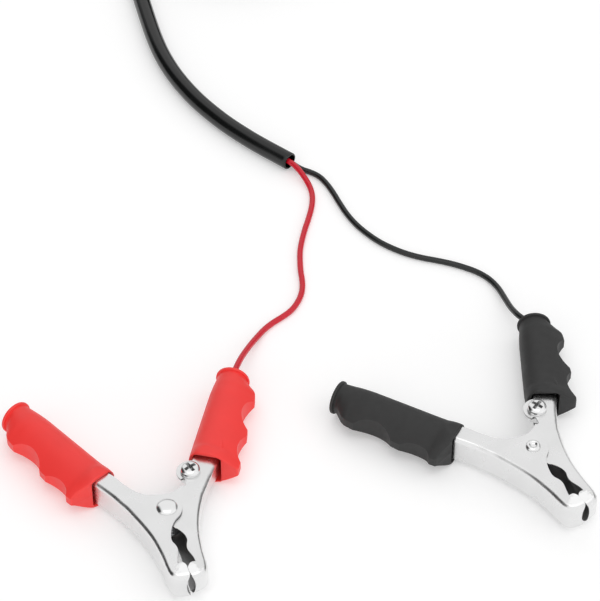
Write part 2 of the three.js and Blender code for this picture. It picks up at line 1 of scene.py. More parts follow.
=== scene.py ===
import bpy
import bmesh
import math
import numpy as np
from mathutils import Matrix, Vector
from mathutils.geometry import delaunay_2d_cdt


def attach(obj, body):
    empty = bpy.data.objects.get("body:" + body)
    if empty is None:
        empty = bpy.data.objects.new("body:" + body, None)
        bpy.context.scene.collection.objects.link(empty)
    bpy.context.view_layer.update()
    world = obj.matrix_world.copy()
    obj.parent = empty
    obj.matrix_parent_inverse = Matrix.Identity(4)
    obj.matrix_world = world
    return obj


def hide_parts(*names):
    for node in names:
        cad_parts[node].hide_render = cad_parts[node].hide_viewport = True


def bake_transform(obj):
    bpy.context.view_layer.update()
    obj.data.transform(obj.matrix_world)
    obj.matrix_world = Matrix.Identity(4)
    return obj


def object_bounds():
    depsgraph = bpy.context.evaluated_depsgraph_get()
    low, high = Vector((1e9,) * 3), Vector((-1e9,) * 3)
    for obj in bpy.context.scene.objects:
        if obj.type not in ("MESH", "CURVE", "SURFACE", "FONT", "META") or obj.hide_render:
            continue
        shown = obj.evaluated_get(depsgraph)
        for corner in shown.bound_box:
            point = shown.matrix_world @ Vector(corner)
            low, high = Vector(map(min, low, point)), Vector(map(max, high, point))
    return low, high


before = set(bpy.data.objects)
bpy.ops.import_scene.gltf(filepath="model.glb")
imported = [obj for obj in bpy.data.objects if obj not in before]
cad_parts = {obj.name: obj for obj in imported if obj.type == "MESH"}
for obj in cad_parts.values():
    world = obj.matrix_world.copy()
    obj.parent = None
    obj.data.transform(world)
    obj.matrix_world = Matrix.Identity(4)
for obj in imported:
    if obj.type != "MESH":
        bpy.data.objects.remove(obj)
cad_box = [list(v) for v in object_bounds()]

# ------------------------------------------------------------------ dimensions, in millimetres
SHIFT = np.array([1.899, 93.679, 0.0])
ZC = 8.4
SHEET = 0.9
FREE_HALF, WIRE_HALF = 6.7, 5.5
BEND = 2.1
HANDLE = math.radians(29.4)
SCREW_AT = (13.9, 16.55)
LEAD_R, SHEATH_R = 1.3, 3.95
NECK_W, NECK_R, FLANGE_R, FLANGE_END, FLANGE_HOLE = 7.05, 6.3, 7.1, 80.8, 4.6
ROOT = "lead_set"
CLAMPS = {
    "red": dict(pivot=(-52.17, -129.66), turn=16.8, free=(0, 0.2, -2.2, 1.064), wire=(-0.8, 0.8, -0.4, 0.98), dome_up=True),
    "black": dict(pivot=(93.37, -97.67), turn=32.4, free=(0, 0.5, 0.1, 1.076), wire=(-1.5, 0.5, 2, 0.91), dome_up=False),
}
WALL = [(-24.6, 20.6), (-21.7, 15.9), (-19.35, 11.8), (-17.4, 7.7), (-15.7, 4.3), (-14.1, 0), (-12.25, -5.15),
        (-10.75, -9.9), (-9.7, -14.2), (-9.0, -18.9), (-8.5, -23.2), (-8.3, -27.5), (-8.05, -30.8), (-7.35, -33.3),
        (-6.1, -34.8), (-4.4, -35.5), (-2.15, -35.8), (-0.15, -35.9)]
FLARE = [2.0, 1.7, 1.25, 0.85, 0.5, 0.2] + [0] * 12
SLOT = [[(-0.15, -33.8), (-0.15, -30.7)],
        [(-0.15, -30.7), (-0.6, -29.4), (-1.5, -28.5), (-3.25, -28.55)],
        [(-3.25, -28.55), (-2.75, -26.6), (-2.0, -24.3), (-1.45, -22.3), (-1.4, -20.9), (-1.75, -19.3), (-2.4, -17.6),
         (-2.5, -16.5), (-2.3, -15.0), (-1.7, -12.9), (-0.9, -10.8)],
        [(-0.9, -10.8), (-0.15, -9.4), (0.6, -8.3), (1.7, -7.0), (3.2, -5.8), (4.5, -4.5), (5.5, -2.6), (5.9, 0), (5.5, 2.6),
         (4.2, 5.4), (2.2, 6.75), (0, 7.1), (-3.9, 8.0), (-6.7, 9.0), (-9.5, 11.2), (-11.3, 13.3), (-12.7, 15.5),
         (-14.0, 17.6), (-15.1, 19.8), (-16.3, 21.9), (-17.2, 23.2)]]

# ------------------------------------------------------------------ routes of the cords, as in the solid model
RED_ROUTE = [
    (-4.75, 84.0, 4.5), (-3.2, 82.7, 4.3), (-0.5, 79.3, 3.8), (2.1, 75.3, 2.7), (4.1, 71.4, 1.6), (5.3, 66.5, 1.3), (5.5, 61.7, 1.3),
    (5.0, 56.5, 1.3), (3.8, 50.2, 1.3), (2.2, 43.2, 1.3), (1.0, 36.8, 1.3), (0.1, 29.9, 1.3), (0, 23.7, 1.3), (0.3, 16.8, 1.3),
    (1.0, 9.7, 1.3), (0.7, 3.5, 1.3), (-1.0, -2.2, 1.3), (-3.8, -7.3, 1.3), (-7.4, -11.1, 1.3), (-11.4, -14.6, 1.3),
    (-14.9, -18.6, 1.5), (-18.0, -24.1, 2.4), (-20.9, -30.5, 4.0), (-23.4, -37.2, 5.9), (-25.3, -43.4, 7.6), (-26.7, -48.5, 8.35),
    (-27.75, -52.7, 8.4)]
BLACK_ROUTE = [
    (-3.4, 85.0, 2.5), (-1.5, 83.9, 1.7), (1.1, 82.3, 1.3), (3.7, 81.0, 1.3), (6.4, 79.4, 1.3), (9.1, 77.0, 1.3), (11.8, 73.0, 1.3),
    (14.5, 67.6, 1.3), (17.4, 60.6, 1.3), (20.8, 53.0, 1.3), (24.9, 46.1, 1.3), (29.7, 40.2, 1.3), (35.1, 34.9, 1.3),
    (41.0, 30.7, 1.3), (47.1, 27.4, 1.3), (53.2, 25.1, 1.3), (59.4, 23.4, 1.3), (65.6, 21.5, 1.3), (71.4, 19.1, 1.3),
    (76.9, 16.1, 1.3), (81.6, 12.0, 1.35), (85.2, 6.2, 1.8), (87.7, -1.6, 3.2), (89.6, -8.9, 5.2), (91.0, -13.2, 6.7),
    (92.6, -16.8, 7.8), (94.4, -19.3, 8.3), (95.45, -21.1, 8.4)]
SHEATH_ROUTE = [
    (-4.5, 84.75, 3.95), (-8.8, 88.25, 3.95), (-15.4, 93.5, 3.95), (-21.9, 99.0, 3.95), (-28.2, 104.8, 3.95), (-34.4, 111.0, 3.95),
    (-40.4, 117.8, 3.95), (-46.3, 125.2, 3.95), (-51.7, 133.1, 3.95), (-56.8, 141.7, 3.95), (-61.4, 151.0, 3.95),
    (-65.6, 161.4, 3.95), (-69.2, 172.8, 3.95), (-72.3, 184.6, 3.95), (-75.2, 196.4, 3.95), (-78.0, 208.2, 3.95),
    (-80.6, 220.0, 4.1), (-82.2, 231.0, 4.6), (-83.05, 241.3, 4.9), (-83.4, 251.0, 5.1), (-83.45, 260.0, 5.15)]
TAIL_ROUTE = [(-25, 327.3, 11.8), (-18, 326.7, 11.2), (-11, 325.9, 9.7), (-4.2, 325.1, 7.9), (1.5, 324.75, 6.3), (8, 324.4, 5.1), (16, 324.0, 4.5), (26, 323.2, 4.45),
              (36, 322.2, 4.8), (46, 321.08, 5.2)]
COIL_AT = (-32.0, 272.0)
PLUG_AT, PLUG_TURN = (44.3, 321.27, 5.2), math.radians(-6.4)


def smoothstep(x):
    x = min(max(x, 0.0), 1.0)
    return x * x * (3 - 2 * x)


def coil_radius_height(t):
    """Radius and height of the wound cable at t degrees from where it joins the coil."""
    out, mid, inn, low, top = 51.35, 47.4, 43.45, 5.15, 12.05
    if t < 356:
        r = out + (inn - out) * smoothstep((t - 315) / 41)
    elif t < 1000:
        r = inn + (mid - inn) * smoothstep((t - 690) / 55)
    else:
        r = mid + (55.35 - mid) * smoothstep((t - 985) / 115)
    if t >= 985:
        r = mid + (55.35 - mid) * smoothstep((t - 985) / 110)
    if t < 620:
        z = low
    elif t < 700:
        z = low + (13.05 - low) * smoothstep((t - 620) / 75)
    elif t < 985:
        z = 13.05 + (top - 13.05) * smoothstep((t - 705) / 45)
    else:
        z = 5.2 + math.sqrt(max(0.0, 7.92 ** 2 - (out - r) ** 2))
    return r, z


def coil_points():
    pts = []
    n = 150
    for i in range(n + 1):
        t = 1170.0 * i / n
        r, z = coil_radius_height(t)
        a = math.radians(180 - t)
        pts.append((COIL_AT[0] + r * math.cos(a), COIL_AT[1] + r * math.sin(a), z))
    return pts


def spline(pts, step, closed=False):
    """Centripetal Catmull-Rom curve through the points, resampled to about that step."""
    p = np.array(pts, float)
    first, last = 2 * p[0] - p[1], 2 * p[-1] - p[-2]
    q = np.vstack([first, p, last])
    out = []
    for i in range(1, len(q) - 2):
        p0, p1, p2, p3 = q[i - 1], q[i], q[i + 1], q[i + 2]
        t0 = 0.0
        t1 = t0 + max(np.linalg.norm(p1 - p0), 1e-9) ** 0.5
        t2 = t1 + max(np.linalg.norm(p2 - p1), 1e-9) ** 0.5
        t3 = t2 + max(np.linalg.norm(p3 - p2), 1e-9) ** 0.5
        for k in range(12):
            t = t1 + (t2 - t1) * k / 12
            a1 = (t1 - t) / (t1 - t0) * p0 + (t - t0) / (t1 - t0) * p1
            a2 = (t2 - t) / (t2 - t1) * p1 + (t - t1) / (t2 - t1) * p2
            a3 = (t3 - t) / (t3 - t2) * p2 + (t - t2) / (t3 - t2) * p3
            b1 = (t2 - t) / (t2 - t0) * a1 + (t - t0) / (t2 - t0) * a2
            b2 = (t3 - t) / (t3 - t1) * a2 + (t - t1) / (t3 - t1) * a3
            out.append((t2 - t) / (t2 - t1) * b1 + (t - t1) / (t2 - t1) * b2)
    out.append(p[-1])
    c = np.array(out)
    d = np.concatenate([[0], np.cumsum(np.linalg.norm(np.diff(c, axis=0), axis=1))])
    n = max(1, int(round(d[-1] / step)))
    u = np.linspace(0, d[-1], n + 1)
    return np.stack([np.interp(u, d, c[:, k]) for k in range(c.shape[1])], 1)


def arc_length(pts):
    return float(np.linalg.norm(np.diff(np.array(pts, float), axis=0), axis=1).sum())


# ------------------------------------------------------------------ materials
def material(name, color, metallic=0.0, roughness=0.5, coat=0.0, coat_rough=0.2, specular=0.5,
             mottle=0.05, mottle_scale=120.0, rough_vary=0.06, rough_scale=260.0,
             bump=0.0, bump_scale=2500.0, bump_detail=3.0, stretch=None, edge_highlight=0.0, sheen=0.0, tip_highlight=None):
    m = bpy.data.materials.new(name)
    m.use_nodes = True
    nt = m.node_tree
    n, link = nt.nodes, nt.links
    n.clear()
    out = n.new("ShaderNodeOutputMaterial")
    bsdf = n.new("ShaderNodeBsdfPrincipled")
    link.new(bsdf.outputs["BSDF"], out.inputs["Surface"])
    bsdf.inputs["Metallic"].default_value = metallic
    bsdf.inputs["Specular IOR Level"].default_value = specular
    bsdf.inputs["Coat Weight"].default_value = coat
    bsdf.inputs["Coat Roughness"].default_value = coat_rough
    bsdf.inputs["Sheen Weight"].default_value = sheen
    tc = n.new("ShaderNodeTexCoord")
    src = tc.outputs["Object"]
    if stretch:
        mp = n.new("ShaderNodeMapping")
        mp.inputs["Scale"].default_value = stretch
        link.new(src, mp.inputs["Vector"])
        src = mp.outputs["Vector"]
    # colour variation
    noise = n.new("ShaderNodeTexNoise")
    noise.inputs["Scale"].default_value = mottle_scale
    noise.inputs["Detail"].default_value = 5.0
    link.new(src, noise.inputs["Vector"])
    ramp = n.new("ShaderNodeValToRGB")
    lo = [c * (1 - mottle) for c in color]
    hi = [min(1.0, c * (1 + mottle)) for c in color]
    ramp.color_ramp.elements[0].position, ramp.color_ramp.elements[1].position = 0.3, 0.7
    ramp.color_ramp.elements[0].color = (*lo, 1)
    ramp.color_ramp.elements[1].color = (*hi, 1)
    link.new(noise.outputs["Fac"], ramp.inputs["Fac"])
    col = ramp.outputs["Color"]
    # painted highlight: convex edges, found by pointiness, are mixed towards a lighter colour
    if edge_highlight:
        geo = n.new("ShaderNodeNewGeometry")
        er = n.new("ShaderNodeValToRGB")
        er.color_ramp.elements[0].position, er.color_ramp.elements[1].position = 0.5, 0.62
        er.color_ramp.elements[0].color = (0, 0, 0, 1)
        er.color_ramp.elements[1].color = (edge_highlight, edge_highlight, edge_highlight, 1)
        link.new(geo.outputs["Pointiness"], er.inputs["Fac"])
        mix = n.new("ShaderNodeMix")
        mix.data_type = "RGBA"
        link.new(er.outputs["Color"], mix.inputs[0])
        link.new(col, mix.inputs[6])
        mix.inputs[7].default_value = (*[min(1.0, c * 1.6 + 0.04) for c in color], 1)
        col = mix.outputs[2]
    spot = None
    if tip_highlight:
        # painted highlight: a near-white patch at the jaw's tip, on the faces that look up or down; spot holds its mask
        x, y, turn = tip_highlight
        mp = n.new("ShaderNodeMapping")
        mp.vector_type = "TEXTURE"
        mp.inputs["Location"].default_value = (x, y, 0)
        mp.inputs["Rotation"].default_value = (0, 0, turn)
        mp.inputs["Scale"].default_value = (0.0064, 0.0068, 1.0)
        link.new(tc.outputs["Object"], mp.inputs["Vector"])
        ln = n.new("ShaderNodeVectorMath")
        ln.operation = "LENGTH"
        link.new(mp.outputs["Vector"], ln.inputs[0])
        pn = n.new("ShaderNodeTexNoise")
        pn.inputs["Scale"].default_value = 420.0
        pn.inputs["Detail"].default_value = 2.0
        link.new(tc.outputs["Object"], pn.inputs["Vector"])
        ma = n.new("ShaderNodeMath")
        ma.operation = "MULTIPLY_ADD"
        link.new(pn.outputs["Fac"], ma.inputs[0])
        ma.inputs[1].default_value = 1.4
        link.new(ln.outputs["Value"], ma.inputs[2])
        mk = n.new("ShaderNodeMapRange")
        mk.inputs["From Min"].default_value, mk.inputs["From Max"].default_value = 1.66, 1.44
        link.new(ma.outputs["Value"], mk.inputs["Value"])
        geo = n.new("ShaderNodeNewGeometry")
        sp = n.new("ShaderNodeSeparateXYZ")
        link.new(geo.outputs["Normal"], sp.inputs["Vector"])
        ab = n.new("ShaderNodeMath")
        ab.operation = "ABSOLUTE"
        link.new(sp.outputs["Z"], ab.inputs[0])
        up = n.new("ShaderNodeMapRange")
        up.inputs["From Min"].default_value, up.inputs["From Max"].default_value = 0.8, 0.95
        link.new(ab.outputs["Value"], up.inputs["Value"])
        both = n.new("ShaderNodeMath")
        both.operation = "MULTIPLY"
        link.new(mk.outputs["Result"], both.inputs[0])
        link.new(up.outputs["Result"], both.inputs[1])
        spot = both.outputs["Value"]
        mix = n.new("ShaderNodeMix")
        mix.data_type = "RGBA"
        link.new(spot, mix.inputs[0])
        link.new(col, mix.inputs[6])
        # painted highlight colour, mixed in over the tip patch
        mix.inputs[7].default_value = (0.99, 0.99, 0.99, 1)
        col = mix.outputs[2]
    link.new(col, bsdf.inputs["Base Color"])
    # roughness variation
    rn = n.new("ShaderNodeTexNoise")
    rn.inputs["Scale"].default_value = rough_scale
    rn.inputs["Detail"].default_value = 4.0
    link.new(src, rn.inputs["Vector"])
    mr = n.new("ShaderNodeMapRange")
    mr.inputs["From Min"].default_value, mr.inputs["From Max"].default_value = 0.25, 0.75
    mr.inputs["To Min"].default_value = max(0.02, roughness - rough_vary)
    mr.inputs["To Max"].default_value = min(1.0, roughness + rough_vary)
    link.new(rn.outputs["Fac"], mr.inputs["Value"])
    rough = mr.outputs["Result"]
    if spot:
        mix = n.new("ShaderNodeMix")
        mix.data_type = "FLOAT"
        link.new(spot, mix.inputs[0])
        link.new(rough, mix.inputs[2])
        mix.inputs[3].default_value = 0.5
        rough = mix.outputs[0]
    link.new(rough, bsdf.inputs["Roughness"])
    if bump:
        bn = n.new("ShaderNodeTexNoise")
        bn.inputs["Scale"].default_value = bump_scale
        bn.inputs["Detail"].default_value = bump_detail
        link.new(src, bn.inputs["Vector"])
        bp = n.new("ShaderNodeBump")
        bp.inputs["Strength"].default_value = 1.0
        bp.inputs["Distance"].default_value = bump
        link.new(bn.outputs["Fac"], bp.inputs["Height"])
        link.new(bp.outputs["Normal"], bsdf.inputs["Normal"])
    return m


MAT = {
    "plated_steel": material("plated_steel_satin", (0.82, 0.82, 0.82), metallic=1.0, roughness=0.25, mottle=0.03, mottle_scale=90, rough_vary=0.05, rough_scale=180),
    "bright_hardware": material("bright_hardware", (0.84, 0.84, 0.84), metallic=1.0, roughness=0.15, mottle=0.03, rough_vary=0.05, rough_scale=500, bump=1.5e-6, bump_scale=1500),
    "spring_steel": material("spring_wire", (0.52, 0.53, 0.55), metallic=1.0, roughness=0.28, mottle=0.06, mottle_scale=500, rough_vary=0.06, bump=1e-6, bump_scale=3000),
    "red_grip": material("red_grip_plastic", (0.90, 0.036, 0.031), roughness=0.46, mottle=0.03, mottle_scale=70, rough_vary=0.05, rough_scale=300, bump=7e-6, bump_scale=2600, edge_highlight=0.25),
    "black_grip": material("black_grip_plastic", (0.020, 0.020, 0.020), roughness=0.60, mottle=0.06, mottle_scale=70, rough_vary=0.05, rough_scale=300, bump=8e-6, bump_scale=2600, edge_highlight=0.15),
    "red_insulation": material("red_insulation", (0.60, 0.006, 0.022), roughness=0.24, mottle=0.03, mottle_scale=150, rough_vary=0.05, rough_scale=400, bump=3e-6, bump_scale=1500),
    "black_insulation": material("black_insulation", (0.006, 0.008, 0.008), roughness=0.26, mottle=0.05, mottle_scale=150, rough_vary=0.05, rough_scale=400, bump=3e-6, bump_scale=1500),
    "sheath": material("cable_sheath_gloss", (0.004, 0.0045, 0.0045), roughness=0.17, mottle=0.05, mottle_scale=80, rough_vary=0.04, rough_scale=200, bump=4e-6, bump_scale=600),
    "black_moulding": material("black_moulding", (0.013, 0.013, 0.014), roughness=0.48, mottle=0.06, mottle_scale=90, rough_vary=0.06, rough_scale=300, bump=8e-6, bump_scale=2400, edge_highlight=0.12),
    "tinned_copper": material("tinned_copper", (0.62, 0.60, 0.56), metallic=1.0, roughness=0.36, mottle=0.07, mottle_scale=400, rough_vary=0.08, bump=2e-6, bump_scale=1500),
    "contact_brass": material("contact_brass", (0.75, 0.54, 0.22), metallic=1.0, roughness=0.27, mottle=0.05, mottle_scale=300, rough_vary=0.06, bump=1e-6, bump_scale=2500),
}
STRAP = material("woven_strap", (0.014, 0.014, 0.015), roughness=0.8, mottle=0.25, mottle_scale=900, rough_vary=0.08, bump=4e-5, bump_scale=1400, sheen=0.3)
WIRE_END = MAT["tinned_copper"]
# painted shade for the inside of the screws' cross recesses
RECESS_SHADE = material("screw_recess_painted_shade", (0.40, 0.40, 0.40), metallic=1.0, roughness=0.42, mottle=0.2, mottle_scale=1500)
# painted shade for the inner faces and cut rims of the sheet-steel levers
SHEET_INSIDE_SHADE = material("sheet_inside_painted_shade", (0.46, 0.46, 0.46), metallic=1.0, roughness=0.42, mottle=0.10, mottle_scale=300, rough_vary=0.06)
JAW_STEEL = {}
for c, info in CLAMPS.items():
    t = math.radians(info["turn"])
    # each clamp's steel carries the painted tip highlight at its own jaw
    JAW_STEEL[c] = material(f"{c}_clamp_plated_steel", (0.795, 0.795, 0.795), metallic=1.0, roughness=0.25, mottle=0.03, mottle_scale=90, rough_vary=0.05, rough_scale=180,
                            tip_highlight=((info["pivot"][0] + 34.6 * math.sin(t) + SHIFT[0]) * 1e-3, (info["pivot"][1] - 34.6 * math.cos(t) + SHIFT[1]) * 1e-3, t))


# ------------------------------------------------------------------ mesh helpers
def new_object(name, verts, faces):
    me = bpy.data.meshes.new(name)
    me.from_pydata([tuple(map(float, v)) for v in verts], [], [tuple(f) for f in faces])
    o = bpy.data.objects.new(name, me)
    bpy.context.scene.collection.objects.link(o)
    return o


def tidy(o, merge=1e-3, sharp=35.0, dissolve=0.0):
    bm = bmesh.new()
    bm.from_mesh(o.data)
    bmesh.ops.remove_doubles(bm, verts=bm.verts, dist=merge)
    bmesh.ops.dissolve_degenerate(bm, dist=1e-4, edges=bm.edges)
    if dissolve:
        bmesh.ops.dissolve_limit(bm, angle_limit=math.radians(dissolve), verts=bm.verts, edges=bm.edges)
    bmesh.ops.recalc_face_normals(bm, faces=bm.faces)
    mark(bm, sharp)
    bm.to_mesh(o.data)
    bm.free()


def mark(bm, sharp):
    for f in bm.faces:
        f.smooth = True
    for e in bm.edges:
        e.smooth = not (len(e.link_faces) == 2 and e.calc_face_angle(0.0) > math.radians(sharp))


def bake(o):
    """Puts the modifiers' result into the mesh."""
    dg = bpy.context.evaluated_depsgraph_get()
    me = bpy.data.meshes.new_from_object(o.evaluated_get(dg), preserve_all_data_layers=True, depsgraph=dg)
    o.modifiers.clear()
    o.data = me


def bevel(o, width, segments=2, angle=35.0):
    m = o.modifiers.new("bevel", "BEVEL")
    m.width = width
    m.segments = segments
    m.limit_method = "ANGLE"
    m.angle_limit = math.radians(angle)
    m.use_clamp_overlap = True
    bake(o)
    bm = bmesh.new()
    bm.from_mesh(o.data)
    mark(bm, 50)
    bm.to_mesh(o.data)
    bm.free()


def weigh(o):
    m = o.modifiers.new("weigh", "WEIGHTED_NORMAL")
    m.keep_sharp = True
    m.weight = 60
    bake(o)


def boolean(o, other, operation):
    m = o.modifiers.new("bool", "BOOLEAN")
    m.object = other
    m.operation = operation
    m.solver = "EXACT"
    bake(o)
    bpy.data.objects.remove(other, do_unlink=True)


def place(o, clamp=None):
    """From a clamp's plan (or the layout) in millimetres to the frame in metres."""
    co = np.zeros(len(o.data.vertices) * 3)
    o.data.vertices.foreach_get("co", co)
    co = co.reshape(-1, 3)
    if clamp:
        c = CLAMPS[clamp]
        t = math.radians(c["turn"])
        x, y = co[:, 0].copy(), co[:, 1].copy()
        co[:, 0] = c["pivot"][0] + x * math.cos(t) - y * math.sin(t)
        co[:, 1] = c["pivot"][1] + x * math.sin(t) + y * math.cos(t)
    co = (co + SHIFT) * 1e-3
    o.data.vertices.foreach_set("co", co.ravel())
    o.data.update()


def done(o, slot, body=ROOT, nodes=(), mat=None):
    o.data.materials.clear()
    o.data.materials.append(mat or MAT[slot])
    if nodes:
        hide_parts(*nodes)
    if body:
        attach(o, body)
    return o


def lathe(name, profile, n=64, close_axis=True):
    """Turned solid round Z; the profile runs from axis to axis as (r, z)."""
    verts, faces, rings = [], [], []
    for r, z in profile:
        if r < 1e-6:
            rings.append([len(verts)])
            verts.append((0, 0, z))
        else:
            rings.append(list(range(len(verts), len(verts) + n)))
            verts += [(r * math.cos(2 * math.pi * i / n), r * math.sin(2 * math.pi * i / n), z) for i in range(n)]
    for a, b in zip(rings, rings[1:]):
        for i in range(n):
            j = (i + 1) % n
            if len(a) == 1 and len(b) == 1:
                continue
            if len(a) == 1:
                faces.append((a[0], b[i], b[j]))
            elif len(b) == 1:
                faces.append((a[i], a[j], b[0]))
            else:
                faces.append((a[i], a[j], b[j], b[i]))
    return new_object(name, verts, faces)


def fillet(profile, radii, n=5):
    """Rounds the corners of a polyline; radii has one value per inner point."""
    out = [np.array(profile[0], float)]
    for i in range(1, len(profile) - 1):
        p, a, b, r = np.array(profile[i], float), np.array(profile[i - 1], float), np.array(profile[i + 1], float), radii[i - 1]
        if r <= 0:
            out.append(p)
            continue
        da, db = (a - p), (b - p)
        la, lb = np.linalg.norm(da), np.linalg.norm(db)
        da, db = da / la, db / lb
        r = min(r, la * 0.49, lb * 0.49)
        for k in range(n + 1):
            t = k / n
            q = (1 - t) ** 2 * (p + da * r) + 2 * t * (1 - t) * p + t * t * (p + db * r)
            out.append(q)
    out.append(np.array(profile[-1], float))
    return [tuple(q) for q in out]


def sweep(pts, radius, sides=24, radii=None):
    """Rings of a tube along the points, with a frame that doesn't twist."""
    p = np.array(pts, float)
    t = np.gradient(p, axis=0)
    t /= np.linalg.norm(t, axis=1)[:, None]
    up = np.array([0, 0, 1.0])
    if abs(t[0] @ up) > 0.9:
        up = np.array([1.0, 0, 0])
    u = up - (up @ t[0]) * t[0]
    u /= np.linalg.norm(u)
    rings = []
    for i in range(len(p)):
        u = u - (u @ t[i]) * t[i]
        u /= np.linalg.norm(u)
        v = np.cross(t[i], u)
        r = radii[i] if radii is not None else radius
        a = np.arange(sides) * 2 * math.pi / sides
        rings.append(p[i] + r * (np.cos(a)[:, None] * u + np.sin(a)[:, None] * v))
    return rings, t


def skin(name, rings, closed_ring=True, caps=(True, True)):
    n = len(rings[0])
    verts = np.vstack(rings)
    faces = []
    for k in range(len(rings) - 1):
        for i in range(n):
            j = (i + 1) % n
            faces.append((k * n + i, k * n + j, (k + 1) * n + j, (k + 1) * n + i))
    if caps[0]:
        faces.append(tuple(range(n - 1, -1, -1)))
    if caps[1]:
        faces.append(tuple((len(rings) - 1) * n + i for i in range(n)))
    return new_object(name, verts, faces)


# ------------------------------------------------------------------ camera
cam_data = bpy.data.cameras.new("camera")
cam = bpy.data.objects.new("camera", cam_data)
bpy.context.scene.collection.objects.link(cam)
cam_data.sensor_fit = "HORIZONTAL"
cam_data.sensor_width = 36.0
cam_data.lens = 162.0
cam_data.clip_start, cam_data.clip_end = 0.05, 20.0
target = Vector((SHIFT[0] * 1e-3, SHIFT[1] * 1e-3, 0.0))
cam.location = target + Vector((0, -1.161 * math.cos(math.radians(45)), 1.161 * math.sin(math.radians(45))))
cam.rotation_euler = (math.radians(45), 0, 0)
bpy.context.scene.camera = cam


# ------------------------------------------------------------------ cords
def cord_mesh(name, line, radius, sides, hollow=None, caps=(True, True)):
    """A round cord; hollow = (inner radius, depth) opens its start."""
    rings, t = sweep(line, radius, sides)
    if hollow:
        ri, depth = hollow
        c = np.array(line[0])
        unit = (rings[0] - c) / radius
        d = t[0]
        lead = []
        for off, rr in ((depth, ri * 0.2), (depth, ri), (depth * 0.5, ri), (0.5, ri), (0.12, ri + 0.08), (0.0, ri + 0.25), (0.0, radius - 0.35), (0.1, radius - 0.1)):
            lead.append(c + d * off + unit * rr)
        k = 1
        while arc_length(line[:k + 1]) < 0.4:
            k += 1
        rings = lead + [c + d * 0.35 + unit * radius] + rings[k:]
    return skin(name, rings, caps=caps)


sheath_dir = np.array([-8.8 + 4.5, 88.25 - 84.75, 0.0])
sheath_dir /= np.linalg.norm(sheath_dir)
sheath_side = np.array([-sheath_dir[1], sheath_dir[0], 0.0])
mouth = np.array([-4.5, 84.75, 3.95])
red_in = [tuple(mouth + sheath_dir * 7.5 + sheath_side * 1.2 + np.array([0, 0, 0.35])), tuple(mouth + sheath_dir * 3.0 + sheath_side * 0.8 + np.array([0, 0, 0.5]))]
black_in = [tuple(mouth + sheath_dir * 7.5 - sheath_side * 1.5 + np.array([0, 0, -0.7])), tuple(mouth + sheath_dir * 3.0 - sheath_side * 0.9 + np.array([0, 0, -1.1]))]

red_line = spline(red_in + RED_ROUTE, 1.2)[::-1]
black_line = spline(black_in + BLACK_ROUTE, 1.2)[::-1]
sheath_line = spline(SHEATH_ROUTE + coil_points() + TAIL_ROUTE, 2.0)
REPORT = {}
for key, line in (("red_lead", red_line), ("black_lead", black_line), ("sheath", sheath_line)):
    REPORT[key] = arc_length(line)


def make_lead(name, line, slot, nodes):
    o = cord_mesh(name, line, LEAD_R, 20)
    tidy(o, sharp=50)
    place(o)
    done(o, slot, ROOT, nodes)
    return o


red_cord = make_lead("red_core", red_line, "red_insulation", ["red_lead"])
black_cord = make_lead("black_core", black_line, "black_insulation", ["black_lead"])

sheath = cord_mesh("sheathed_cable", sheath_line, SHEATH_R, 36, hollow=(3.1, 9.0))
tidy(sheath, sharp=60)
place(sheath)
done(sheath, "sheath", ROOT, ["cable_sheath", "cable_coil", "cable_tail"])


def on_plug(o):
    co = np.zeros(len(o.data.vertices) * 3)
    o.data.vertices.foreach_get("co", co)
    co = co.reshape(-1, 3)
    x, y = co[:, 0].copy(), co[:, 1].copy()
    co[:, 0] = PLUG_AT[0] + x * math.cos(PLUG_TURN) - y * math.sin(PLUG_TURN)
    co[:, 1] = PLUG_AT[1] + x * math.sin(PLUG_TURN) + y * math.cos(PLUG_TURN)
    co[:, 2] += PLUG_AT[2]
    o.data.vertices.foreach_set("co", co.ravel())


def lay_along_x(o, x=0.0, y=0.0, z=0.0):
    co = np.zeros(len(o.data.vertices) * 3)
    o.data.vertices.foreach_get("co", co)
    co = co.reshape(-1, 3)
    co = np.stack([co[:, 2] + x, co[:, 1] + y, -co[:, 0] + z], 1)
    o.data.vertices.foreach_set("co", co.ravel())


# strain relief with rings
prof = [(0.0, -0.0), (3.9, 0.0), (4.15, 0.35)]
x = 2.2
while x < 21:
    r = 4.15 + 0.9 * x / 25
    prof += [(r, x - 0.25), (r - 0.1, x), (r - 0.62, x + 0.12), (r - 0.62, x + 0.88), (r - 0.08, x + 1.0), (r + 0.03, x + 1.25)]
    x += 2.7
prof += [(5.0, 23.6), (5.05, 25.3), (0, 25.3)]
relief = lathe("strain_relief_boot", prof, 48)
tidy(relief, sharp=45)
bevel(relief, 0.12, 2, 30)
lay_along_x(relief)
on_plug(relief)
place(relief)
weigh(relief)
done(relief, "black_moulding", ROOT, ["strain_relief"])

# connector body
def rounded_slab(name, plan, half, radius, corner, n=6):
    """Prism over a plan outline whose long edges are rounded."""
    m = len(plan)
    pts = []
    for i in range(m):
        p, a, b = np.array(plan[i], float), np.array(plan[i - 1], float), np.array(plan[(i + 1) % m], float)
        da, db = (a - p) / np.linalg.norm(a - p), (b - p) / np.linalg.norm(b - p)
        for k in range(n + 1):
            t = k / n
            pts.append((1 - t) ** 2 * (p + da * corner) + 2 * t * (1 - t) * p + t * t * (p + db * corner))
    pts = np.array(pts)
    nxt, prv = np.roll(pts, -1, 0), np.roll(pts, 1, 0)
    tan = nxt - prv
    tan /= np.linalg.norm(tan, axis=1)[:, None]
    nor = np.stack([tan[:, 1], -tan[:, 0]], 1)
    area = 0.5 * np.sum(pts[:, 0] * nxt[:, 1] - pts[:, 1] * nxt[:, 0])
    if area < 0:
        nor = -nor
    rings = []
    for k in range(7):
        a = math.pi / 2 * k / 6
        off, z = radius * (1 - math.cos(math.pi / 2 - a)), -half + radius * (1 - math.sin(a))
        rings.append((radius * (1 - math.sin(a)), -half + radius * (1 - math.cos(a))))
    rings = rings + [(o_, -z_) for o_, z_ in rings[::-1]]
    out = [np.column_stack([pts - nor * off, np.full(len(pts), z)]) for off, z in rings]
    return skin(name, out)


